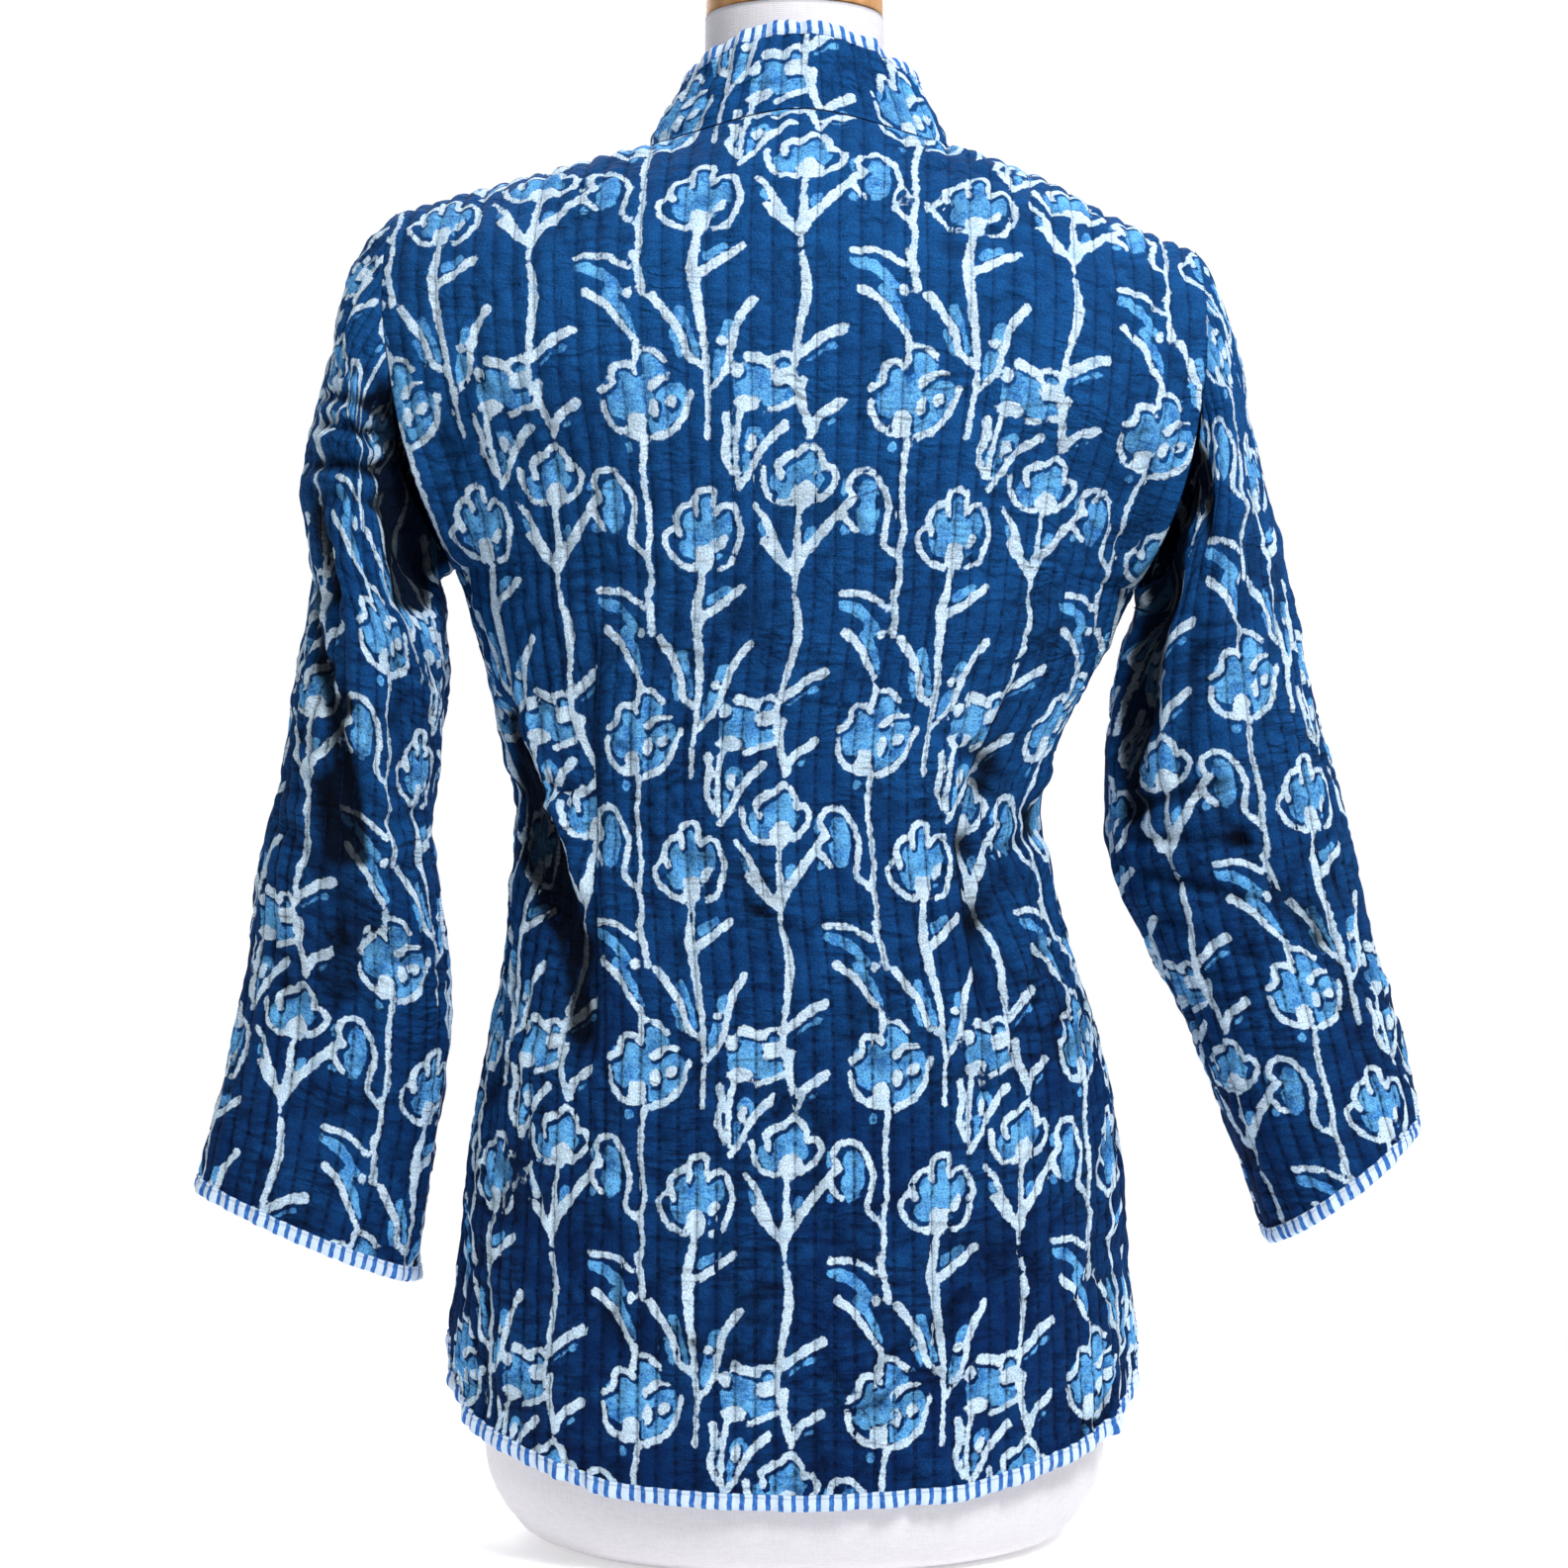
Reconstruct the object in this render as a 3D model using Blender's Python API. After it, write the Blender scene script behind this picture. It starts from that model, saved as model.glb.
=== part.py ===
"""Quilted reversible jacket on a limbless dress form.

Metres, +Z up. The form stands on its flat base at the origin. The jacket's back faces -Y and its
front +Y. Left and right are the wearer's, so the left side is at -X.
"""

import bpy
import bmesh
import numpy as np

# Cloth and seams
WALL = 0.0016
PUFF = 0.0009
SEAM_GAP = 0.0003
HALF_SEAM = SEAM_GAP / 2
BINDING_WIDTH = 0.0073
BINDING_THICKNESS = 0.0030
BINDING_REACH = SEAM_GAP + BINDING_WIDTH
BINDING_TAPER = 0.8
FRONT_GAP = 0.0020
FRONT_EDGE = FRONT_GAP / 2 + BINDING_REACH

# Quilting channels and how many of them fit on each piece
BACK_HALF_CHANNELS = 22
BACK_NECK_CHANNELS = 8
FRONT_CHANNELS = 24
FRONT_NECK_CHANNELS = 8
SLEEVE_CHANNELS = 38
COLLAR_CHANNELS = 44
INNER_STEP = 4

# Armhole: an oval about this middle
ARMHOLE_MIDDLE = 0.557
ARMHOLE_RISE = 0.087
ARMHOLE_DEPTH = 0.058
ARMPIT = ARMHOLE_MIDDLE - ARMHOLE_RISE

# Where the chest's curve starts to fill out towards the armhole
CHEST_START = 0.38

# Shoulder line: half its width, how far the neck's channels bunch, and where the form's neck ends
SHOULDER_HALF_WIDTH = 0.195
NECK_BUNCH = 0.65
SHOULDER_START = 0.075
FORM_SHOULDER_START = 0.115

# Neck seam and collar
NECK_HALF_WIDTH = 0.0735
NECK_BACK_DEPTH = 0.048
NECK_FRONT_DEPTH = 0.066
NECK_SIDE_HEIGHT = 0.6765
NECK_BACK_RISE = 0.010
NECK_FRONT_DROP = 0.0415
SHOULDER_FALL = 0.2675
COLLAR_TOP_HALF_WIDTH = 0.0583
COLLAR_TOP_BACK = 0.042
COLLAR_TOP_FRONT = 0.060
COLLAR_TOP_HEIGHTS = {"back": 0.7235, "side": 0.7050, "front": 0.6650}

# How the jacket sits: the right shoulder is low, the waist is off to the left
DROOP = 0.019
WAIST_SHIFT = -0.008
NECK_SHIFT = 0.0024

# The collar stands a little further off its seam, because the neck seam dips at the front
COLLAR_SEAM = 0.0005

# Dress form
FORM_GAP = 0.0008
FORM_SHOULDER_HALF_WIDTH = 0.187
FORM_ARM_DEPTH = 0.052
FORM_NECK_HALF_WIDTH = 0.0705
FORM_NECK_BACK_DEPTH = 0.045
FORM_NECK_FRONT_DEPTH = 0.062
FORM_NECK_DROP = 0.0052
FORM_NECK_RADIUS = 0.0445
FORM_NECK_CENTRE = 0.010
FORM_NECK_TOP = 0.742
FORM_COLUMNS = 12
FORM_NECK_COLUMNS = 4
CAP_RADIUS = 0.0435
CAP_HEIGHT = 0.0325
CAP_SIDES = 32

BODY_COLUMNS = ("height", "half_width", "back_depth", "front_depth")
JACKET_BODY = (
    (0.030, 0.1685, 0.1180, 0.1080),
    (0.093, 0.1676, 0.1170, 0.1080),
    (0.143, 0.1616, 0.1120, 0.1060),
    (0.177, 0.1600, 0.1070, 0.1040),
    (0.235, 0.1500, 0.0960, 0.0990),
    (0.274, 0.1400, 0.0870, 0.0960),
    (0.320, 0.1315, 0.0790, 0.0940),
    (0.353, 0.1284, 0.0755, 0.0945),
    (0.382, 0.1350, 0.0770, 0.0975),
    (0.419, 0.1477, 0.0835, 0.1060),
    (0.470, 0.1665, 0.0945, 0.1190),
    (0.500, 0.1780, 0.1005, 0.1240),
    (0.530, 0.1865, 0.1040, 0.1240),
    (0.557, 0.1915, 0.1050, 0.1200),
    (0.600, 0.1965, 0.1050, 0.1200),
    (0.650, 0.1950, 0.1050, 0.1200),
)
FORM_BODY = (
    (0.000, 0.1180, 0.0920, 0.0860),
    (0.004, 0.1290, 0.1000, 0.0930),
    (0.011, 0.1370, 0.1060, 0.0980),
    (0.024, 0.1460, 0.1110, 0.1020),
    (0.056, 0.1520, 0.1130, 0.1030),
    (0.143, 0.1520, 0.1060, 0.1010),
    (0.235, 0.1410, 0.0895, 0.0930),
    (0.320, 0.1205, 0.0690, 0.0875),
    (0.353, 0.1180, 0.0670, 0.0880),
    (0.382, 0.1250, 0.0690, 0.0910),
    (0.419, 0.1380, 0.0760, 0.0990),
    (0.470, 0.1580, 0.0880, 0.1125),
    (0.557, 0.1840, 0.0980, 0.1110),
    (0.650, 0.1880, 0.0980, 0.1110),
)

# Rings of the form's neck: share of the way to the neck's tube, height, size
FORM_NECK = (
    (0.85, 0.694, 1.000),
    (1.00, 0.712, 1.000),
    (1.00, 0.742, 0.985),
)

# Rings of the cap: share of its radius, height above its underside
CAP_PROFILE = (
    (0.975, 0.0000),
    (1.000, 0.0020),
    (0.990, 0.0120),
    (0.930, 0.0200),
    (0.780, 0.0265),
    (0.450, 0.0310),
)

# The bound hem: turn is 0 at the centre and 1 at the side seam, lean widens the band on a slope
HEM_COLUMNS = ("turn", "height", "lean")
HEM = (
    (0.00, 0.0340, 1.00),
    (0.20, 0.0360, 1.00),
    (0.32, 0.0377, 1.02),
    (0.40, 0.0415, 1.05),
    (0.50, 0.0473, 1.05),
    (0.60, 0.0532, 1.05),
    (0.70, 0.0593, 1.08),
    (0.80, 0.0690, 1.14),
    (0.90, 0.0825, 1.19),
    (1.00, 0.0950, 1.18),
)

# Sleeve sections from below the shoulder to the cuff, each between its outer and its inner point
SLEEVE_COLUMNS = (
    "outer_x",
    "outer_z",
    "inner_x",
    "inner_z",
    "half_depth",
    "middle_y",
    "bow",
)
SLEEVE_LEFT = (
    (0.2135, 0.6200, 0.1735, 0.4655, 0.060, 0.000, 0.0085),
    (0.2230, 0.5820, 0.1730, 0.4580, 0.064, 0.000, 0.0065),
    (0.2320, 0.5500, 0.1718, 0.4470, 0.068, 0.001, 0.0040),
    (0.2400, 0.5150, 0.1712, 0.4320, 0.069, 0.002, 0.0015),
    (0.2360, 0.4720, 0.1716, 0.4120, 0.067, 0.004, 0.0000),
    (0.2435, 0.4190, 0.1745, 0.3800, 0.064, 0.007, 0.0000),
    (0.2520, 0.3680, 0.1790, 0.3450, 0.060, 0.010, 0.0000),
    (0.2640, 0.3210, 0.1740, 0.3020, 0.051, 0.013, 0.0000),
    (0.2706, 0.2740, 0.1700, 0.2620, 0.046, 0.015, 0.0000),
    (0.2790, 0.2350, 0.1720, 0.2250, 0.040, 0.016, 0.0000),
    (0.2880, 0.1980, 0.1800, 0.1720, 0.036, 0.017, 0.0000),
    (0.2942, 0.1724, 0.1864, 0.1262, 0.034, 0.018, 0.0000),
)
SLEEVE_RIGHT = (
    (0.2060, 0.6030, 0.1690, 0.4530, 0.060, 0.000, 0.0085),
    (0.2155, 0.5720, 0.1680, 0.4480, 0.064, 0.000, 0.0065),
    (0.2225, 0.5350, 0.1650, 0.4400, 0.067, 0.001, 0.0040),
    (0.2328, 0.4980, 0.1610, 0.4290, 0.067, 0.002, 0.0015),
    (0.2430, 0.4560, 0.1570, 0.4100, 0.064, 0.004, 0.0000),
    (0.2520, 0.4150, 0.1548, 0.3850, 0.060, 0.006, 0.0000),
    (0.2640, 0.3740, 0.1546, 0.3560, 0.055, 0.008, 0.0000),
    (0.2758, 0.3290, 0.1565, 0.3260, 0.050, 0.010, 0.0000),
    (0.2860, 0.2870, 0.1690, 0.2960, 0.048, 0.012, 0.0000),
    (0.2960, 0.2520, 0.1860, 0.2640, 0.047, 0.014, 0.0000),
    (0.3030, 0.2240, 0.2080, 0.2140, 0.047, 0.015, 0.0000),
    (0.3065, 0.2043, 0.2322, 0.1462, 0.047, 0.016, 0.0000),
)

# The largest folds, each a soft line between two places seen from behind; lift below 0 is a trough
FOLD_COLUMNS = (
    "piece",
    "face",
    "x_from",
    "z_from",
    "x_to",
    "z_to",
    "half_width",
    "lift",
)
FOLDS = (
    ("back", -1, -0.134, 0.394, -0.097, 0.318, 0.010, -0.0050),
    ("back", -1, -0.096, 0.430, -0.094, 0.245, 0.008, -0.0022),
    ("back", -1, 0.103, 0.405, 0.080, 0.337, 0.008, -0.0022),
    ("back", -1, 0.080, 0.337, 0.088, 0.269, 0.008, -0.0022),
    ("back", -1, 0.120, 0.352, 0.070, 0.392, 0.009, -0.0026),
    ("back", -1, 0.118, 0.348, 0.085, 0.300, 0.009, -0.0026),
    ("back", -1, -0.080, 0.310, -0.074, 0.190, 0.008, 0.0028),
    ("front_left", 1, -0.125, 0.380, -0.085, 0.320, 0.010, -0.0035),
    ("front_right", 1, 0.118, 0.360, 0.075, 0.310, 0.010, -0.0035),
    ("sleeve_left", -1, -0.225, 0.552, -0.186, 0.536, 0.009, -0.0045),
    ("sleeve_left", -1, -0.224, 0.520, -0.184, 0.498, 0.009, -0.0045),
    ("sleeve_left", -1, -0.222, 0.486, -0.212, 0.400, 0.009, -0.0032),
    ("sleeve_left", -1, -0.200, 0.400, -0.238, 0.345, 0.010, -0.0035),
    ("sleeve_left", 1, -0.228, 0.540, -0.190, 0.500, 0.010, -0.0040),
    ("sleeve_left", 1, -0.190, 0.370, -0.240, 0.320, 0.010, -0.0040),
    ("sleeve_right", -1, 0.205, 0.540, 0.197, 0.450, 0.009, 0.0040),
    ("sleeve_right", -1, 0.178, 0.470, 0.182, 0.400, 0.009, -0.0045),
    ("sleeve_right", -1, 0.158, 0.350, 0.230, 0.372, 0.010, -0.0035),
    ("sleeve_right", -1, 0.165, 0.322, 0.235, 0.300, 0.010, -0.0035),
    ("sleeve_right", 1, 0.222, 0.520, 0.185, 0.470, 0.010, -0.0040),
    ("sleeve_right", 1, 0.165, 0.345, 0.240, 0.330, 0.010, -0.0040),
)

# Rows of the body's pieces: 0 is the hem, 1 the armpit, 2 the armhole's middle, 3 the shoulder
PANEL_ROWS = (0, 0.24, 0.46, 0.64, 0.74, 0.87, 1, 1.33, 1.67, 2, 2.25, 2.5, 2.75, 3)
DENSE = 240
BODY_MIDDLE = (0.0, 0.0, 0.45)

# Name, red, green, blue and roughness of each finish
FINISHES = {
    "cloth": (0.012, 0.060, 0.200, 0.85),
    "binding": (0.420, 0.640, 0.860, 0.80),
    "linen": (0.780, 0.750, 0.740, 0.90),
    "wood": (0.560, 0.330, 0.140, 0.45),
}


def soft_step(value, low, high):
    """0 below low, 1 above high and a smooth rise between them."""
    share = np.clip((value - low) / (high - low), 0.0, 1.0)
    return share * share * (3.0 - 2.0 * share)


def read_table(rows, columns, name, at):
    """A smooth curve through one named column of a table, read at the values of its first column."""
    keys = np.array([row[0] for row in rows], float)
    values = np.array([row[columns.index(name)] for row in rows], float)
    slopes = np.gradient(values, keys)
    at = np.clip(at, keys[0], keys[-1])
    left = np.clip(np.searchsorted(keys, at, side="right") - 1, 0, len(keys) - 2)
    span = keys[left + 1] - keys[left]
    share = (at - keys[left]) / span
    near = (1 + 2 * share) * (1 - share) ** 2 * values[left]
    far = share**2 * (3 - 2 * share) * values[left + 1]
    lean = share * (1 - share) ** 2 * span * slopes[left]
    pull = share**2 * (share - 1) * span * slopes[left + 1]
    return near + far + lean + pull


def along_axis(vectors):
    """The vectors at unit length."""
    length = np.linalg.norm(vectors, axis=-1, keepdims=True)
    return vectors / np.maximum(length, 1e-12)


def jacket_shape(centre):
    """What body_point needs for the jacket; centre is where its pieces start beside the centre line."""
    return {
        "body": JACKET_BODY,
        "hem": HEM,
        "centre": centre,
        "rise": ARMHOLE_RISE,
        "arm_depth": ARMHOLE_DEPTH,
        "top_width": SHOULDER_HALF_WIDTH,
        "neck_half": NECK_HALF_WIDTH,
        "neck_back": NECK_BACK_DEPTH,
        "neck_front": NECK_FRONT_DEPTH,
        "drop": 0.0,
        "neck_drop": 0.0,
    }


def form_shape():
    """What body_point needs for the dress form, which lies inside the jacket's cloth."""
    drop = WALL + FORM_GAP
    slope = SHOULDER_FALL * (FORM_SHOULDER_HALF_WIDTH - NECK_HALF_WIDTH)
    shoulder = NECK_SIDE_HEIGHT - slope - drop
    return {
        "body": FORM_BODY,
        "hem": None,
        "centre": 0.0,
        "rise": shoulder - ARMHOLE_MIDDLE,
        "arm_depth": FORM_ARM_DEPTH,
        "top_width": FORM_SHOULDER_HALF_WIDTH,
        "neck_half": FORM_NECK_HALF_WIDTH,
        "neck_back": FORM_NECK_BACK_DEPTH,
        "neck_front": FORM_NECK_FRONT_DEPTH,
        "drop": drop,
        "neck_drop": FORM_NECK_DROP,
    }


def body_point(shape, face, across, up):
    """Points of the body's outer surface on the +X side.

    face is -1 for the back and 1 for the front. across runs from the centre edge (0) to the side
    seam or the armhole (1). up is 0 at the hem, 1 at the armpit, 2 at the armhole's middle and 3 at
    the shoulder or neck seam.
    """
    across, up = np.broadcast_arrays(np.asarray(across, float), np.asarray(up, float))
    centre = shape["centre"]
    armpit = ARMHOLE_MIDDLE - shape["rise"]
    lowest = np.zeros_like(across)
    if shape["hem"]:
        turn = np.arcsin(np.clip(across, 0, 1)) * 2 / np.pi
        height = read_table(HEM, HEM_COLUMNS, "height", turn)
        lean = read_table(HEM, HEM_COLUMNS, "lean", turn)
        lowest = height + BINDING_REACH * lean
    swing = np.radians(90) * (np.clip(up, 1, 3) - 2)
    edge_height = ARMHOLE_MIDDLE + shape["rise"] * np.sin(swing)
    low_height = lowest + (armpit - lowest) * np.clip(up, 0, 1)
    height = np.where(up < 1, low_height, np.minimum(edge_height, ARMHOLE_MIDDLE))
    width_height = np.where(up < 1, low_height, edge_height)
    half_width = read_table(shape["body"], BODY_COLUMNS, "half_width", width_height)
    x = centre + (half_width - centre) * across
    depth_name = "back_depth" if face < 0 else "front_depth"
    depth = read_table(shape["body"], BODY_COLUMNS, depth_name, height)
    edge_depth = np.where(up < 1, 0.0, shape["arm_depth"] * np.cos(np.minimum(swing, 0.0)))
    rise = soft_step(height, CHEST_START, ARMHOLE_MIDDLE)
    fullness = 2.3 + 0.3 * rise
    ratio = x / half_width
    rim = np.clip(1.0 - ratio**fullness, 0.0, 1.0) ** (0.47 + 0.53 * rise)
    edge_pull = fullness + 8 * (1 - soft_step(height, ARMPIT, ARMHOLE_MIDDLE))
    y = depth * rim + edge_depth * ratio**edge_pull

    top_x = centre + (shape["top_width"] - centre) * across
    neck_half = shape["neck_half"]
    neck_depth = shape["neck_back"] if face < 0 else shape["neck_front"]
    neck_rise = NECK_BACK_RISE if face < 0 else -NECK_FRONT_DROP
    level = NECK_SIDE_HEIGHT - shape["drop"] - ARMHOLE_MIDDLE
    middle_depth = read_table(shape["body"], BODY_COLUMNS, depth_name, ARMHOLE_MIDDLE)
    centre_crown = (level + neck_rise) / np.sqrt(1 - (neck_depth / middle_depth) ** 2)
    shoulder_crown = level - SHOULDER_FALL * (np.maximum(top_x, neck_half) - NECK_HALF_WIDTH)
    share = np.clip(top_x / neck_half, 0.0, 1.0)
    to_side = share**2 * (3 - 2 * share)
    slope = -SHOULDER_FALL * neck_half * share**2 * (share - 1)
    crown = centre_crown * (1 - to_side) + shoulder_crown * to_side + slope
    neck_drop = shape["neck_drop"] * (1 - soft_step(top_x, SHOULDER_START, FORM_SHOULDER_START))
    crown = crown - neck_drop
    top_y = neck_depth * np.sqrt(1 - share**2)
    bend = np.arccos(np.clip(top_y / np.maximum(y, 1e-6), 0.0, 1.0)) * np.clip(up - 2, 0, 1)
    upper_y = y * np.cos(bend)
    upper_z = ARMHOLE_MIDDLE + crown * np.sin(bend)
    y = np.where(up > 2, upper_y, y)
    z = np.where(up > 2, upper_z, height)
    return np.stack([x, face * y, z], axis=-1)


def even_columns(shape, face, shares, up, neck_share):
    """Where the quilting channels of one row lie across the piece, as body_point's across."""
    dense = np.linspace(0, 1, DENSE)
    line = body_point(shape, face, dense, min(up, 2.0))
    steps = np.linalg.norm(np.diff(line, axis=0), axis=1)
    length = np.concatenate([[0], np.cumsum(steps)])
    even = np.interp(shares * length[-1], length, dense)
    centre = shape["centre"]
    neck = (shape["neck_half"] - centre) / (shape["top_width"] - centre)
    within = np.clip(shares / neck_share, 0, 1)
    bunch = NECK_BUNCH * np.clip(up - 2, 0, 1) ** 2
    to_neck = neck * ((1 - bunch) * within + bunch * np.sin(within * np.pi / 2))
    beyond = neck + (1 - neck) * (shares - neck_share) / (1 - neck_share)
    fixed = np.where(shares <= neck_share, to_neck, beyond)
    blend = soft_step(up, 1.0, 2.0)
    return (1 - blend) * even + blend * fixed


def posture(points):
    """The droop of the right shoulder and the shift of the waist and neck, alike for every piece."""
    moved = np.array(points, float)
    x, z = points[..., 0], points[..., 2]
    moved[..., 2] -= DROOP * soft_step(x, SHOULDER_START, SHOULDER_HALF_WIDTH) * soft_step(z, 0.34, 0.56)
    waist = soft_step(z, 0.24, 0.35) * (1 - soft_step(z, 0.37, 0.46))
    moved[..., 0] += WAIST_SHIFT * waist + NECK_SHIFT * soft_step(z, 0.62, 0.68)
    return moved


def grid_normals(grid, outward, closed):
    """Unit normals of a grid of points, turned to the side of the outward vectors."""
    down = np.gradient(grid, axis=0)
    if closed:
        across = np.roll(grid, -1, axis=1) - np.roll(grid, 1, axis=1)
    else:
        across = np.gradient(grid, axis=1)
    normals = along_axis(np.cross(across, down))
    sign = np.sign(np.sum(normals * outward, axis=-1, keepdims=True))
    return normals * np.where(sign == 0, 1, sign)


def fold_lift(piece, points):
    """How far each point of a piece stands out or in because of the folds on it."""
    lift = np.zeros(points.shape[:-1])
    for row in FOLDS:
        fold = dict(zip(FOLD_COLUMNS, row))
        if fold["piece"] != piece:
            continue
        start = np.array([fold["x_from"], fold["z_from"]])
        way = np.array([fold["x_to"], fold["z_to"]]) - start
        flat = points[..., [0, 2]] - start
        share = np.clip(flat @ way / (way @ way), 0, 1)
        away = np.linalg.norm(flat - share[..., None] * way, axis=-1)
        on_face = soft_step(fold["face"] * points[..., 1], 0.0, 0.02)
        lift += fold["lift"] * np.exp(-((away / fold["half_width"]) ** 2)) * on_face
    return lift


def zip_edges(long_edge, short_edge):
    """Triangles between two rows of point numbers that start and end together."""
    triangles = []
    i = 0
    j = 0
    while i < len(long_edge) - 1 or j < len(short_edge) - 1:
        long_share = (i + 1) / (len(long_edge) - 1)
        short_share = (j + 1) / (len(short_edge) - 1)
        take_long = j == len(short_edge) - 1 or (i < len(long_edge) - 1 and long_share <= short_share)
        if take_long:
            triangles.append((long_edge[i], long_edge[i + 1], short_edge[j]))
            i += 1
        else:
            triangles.append((long_edge[i], short_edge[j + 1], short_edge[j]))
            j += 1
    return triangles


def grid_triangles(numbers):
    """Two triangles for each cell of a grid of point numbers."""
    triangles = []
    for row in range(numbers.shape[0] - 1):
        for column in range(numbers.shape[1] - 1):
            a, b = numbers[row, column], numbers[row, column + 1]
            c, d = numbers[row + 1, column], numbers[row + 1, column + 1]
            triangles.append((a, b, d))
            triangles.append((a, d, c))
    return triangles


def add_object(name, points, triangles, finish):
    """One closed body as an object with its own material."""
    mesh = bpy.data.meshes.new(name)
    mesh.from_pydata([tuple(point) for point in points], [], [tuple(t) for t in triangles])
    shell = bmesh.new()
    shell.from_mesh(mesh)
    bmesh.ops.remove_doubles(shell, verts=shell.verts, dist=1e-6)
    bmesh.ops.dissolve_degenerate(shell, edges=shell.edges, dist=1e-6)
    bmesh.ops.recalc_face_normals(shell, faces=shell.faces)
    shell.to_mesh(mesh)
    shell.free()
    mesh.shade_smooth()
    mesh.set_sharp_from_angle(angle=np.radians(50))
    red, green, blue, roughness = FINISHES[finish]
    material = bpy.data.materials.new(name)
    material.use_nodes = True
    material.diffuse_color = (red, green, blue, 1)
    principled = material.node_tree.nodes["Principled BSDF"]
    principled.inputs["Base Color"].default_value = (red, green, blue, 1)
    principled.inputs["Roughness"].default_value = roughness
    mesh.materials.append(material)
    bpy.context.scene.collection.objects.link(bpy.data.objects.new(name, mesh))


def cloth_wall(name, grid, normals, closed, inner_step=INNER_STEP):
    """A piece of quilted cloth: puffed channels outside, a plain wall inside with fewer columns."""
    rows, columns = grid.shape[:2]
    lift = np.zeros((rows, columns))
    lift[1:-1, 1::2] = PUFF
    outer = grid + normals * lift[..., None]
    inner = (grid - normals * WALL)[:, ::inner_step]
    if name == "back" or name.startswith("front"):
        face = -1 if name == "back" else 1
        for points in (outer, inner):
            points[..., 1] = face * np.maximum(face * points[..., 1], HALF_SEAM)
    if name.startswith("front"):
        side = -1 if name.endswith("left") else 1
        for points in (outer, inner):
            points[..., 0] = side * np.maximum(side * points[..., 0], FRONT_EDGE)
    outer_numbers = np.arange(rows * columns).reshape(rows, columns)
    inner_numbers = rows * columns + np.arange(rows * inner.shape[1]).reshape(rows, -1)
    if closed:
        outer_numbers = np.concatenate([outer_numbers, outer_numbers[:, :1]], axis=1)
        inner_numbers = np.concatenate([inner_numbers, inner_numbers[:, :1]], axis=1)
    triangles = grid_triangles(outer_numbers)
    triangles += [t[::-1] for t in grid_triangles(inner_numbers)]
    for row in (0, -1):
        triangles += zip_edges(list(outer_numbers[row]), list(inner_numbers[row]))
    if not closed:
        for column in (0, -1):
            pair = np.stack([outer_numbers[:, column], inner_numbers[:, column]], axis=1)
            triangles += grid_triangles(pair)
    points = np.concatenate([outer.reshape(-1, 3), inner.reshape(-1, 3)])
    add_object(name, points, triangles, "cloth")


def band(name, edge, normals, reach, closed, seam=None):
    """A binding along an edge: reach is its direction away from the cloth, longer where it leans."""
    middle = edge - normals * WALL / 2
    half = BINDING_THICKNESS / 2
    near, far = reach * SEAM_GAP, reach * BINDING_REACH
    corners = (
        middle + near + normals * half,
        middle + far + normals * half * BINDING_TAPER,
        middle + far - normals * half * BINDING_TAPER,
        middle + near - normals * half,
    )
    ring = np.stack(corners, axis=1)
    if seam:
        ring[..., 1] = seam * np.maximum(seam * ring[..., 1], HALF_SEAM)
    count = len(edge)
    numbers = np.arange(count * 4).reshape(count, 4)
    numbers = np.concatenate([numbers, numbers[:, :1]], axis=1)
    if closed:
        numbers = np.concatenate([numbers, numbers[:1]], axis=0)
    triangles = grid_triangles(numbers)
    if not closed:
        for end in (0, -1):
            a, b, c, d = numbers[end, :4]
            triangles += [(a, b, c), (a, c, d)]
    add_object(name, ring.reshape(-1, 3), triangles, "binding")


def panel_grid(face, side, channels, neck_channels):
    """The points of half a back or of one front, from the centre edge to the side."""
    shape = jacket_shape(0.0 if face < 0 else FRONT_EDGE)
    shares = np.linspace(0, 1, channels * 2 + 1)
    rows = []
    for up in PANEL_ROWS:
        across = even_columns(shape, face, shares, up, neck_channels / channels)
        rows.append(body_point(shape, face, across, up))
    return np.array(rows) * (side, 1, 1)


def finish_panel(name, plain):
    """Settles a panel's points as it hangs, with its folds, and builds it."""
    grid = posture(plain)
    normals = grid_normals(grid, grid - BODY_MIDDLE, False)
    lift = fold_lift(name, grid)
    lift[[0, -1]] = 0
    lift[:, [0, -1]] = 0
    grid = grid + normals * lift[..., None]
    cloth_wall(name, grid, normals, False)
    return grid, normals


def hem_reach(grid, across):
    """Straight down the cloth at its hem, stretched by the hem's lean."""
    down = along_axis(grid[0] - grid[1])
    turn = np.arcsin(np.clip(np.abs(across), 0, 1)) * 2 / np.pi
    return down * read_table(HEM, HEM_COLUMNS, "lean", turn)[:, None]


def build_back():
    """The back with its bound hem; returns its plain grid for the collar."""
    half = panel_grid(-1, 1, BACK_HALF_CHANNELS, BACK_NECK_CHANNELS)
    mirrored = half[:, ::-1] * (-1, 1, 1)
    plain = np.concatenate([mirrored[:, :-1], half], axis=1)
    plain[..., 1] = np.minimum(plain[..., 1], -HALF_SEAM)
    grid, normals = finish_panel("back", plain)
    hem = slice(None, None, 2)
    across = plain[0, hem, 0] / np.abs(plain[0, :, 0]).max()
    reach = hem_reach(grid[:, hem], across)
    band("binding_hem_back", grid[0, hem], normals[0, hem], reach, False, seam=-1)
    return plain


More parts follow.
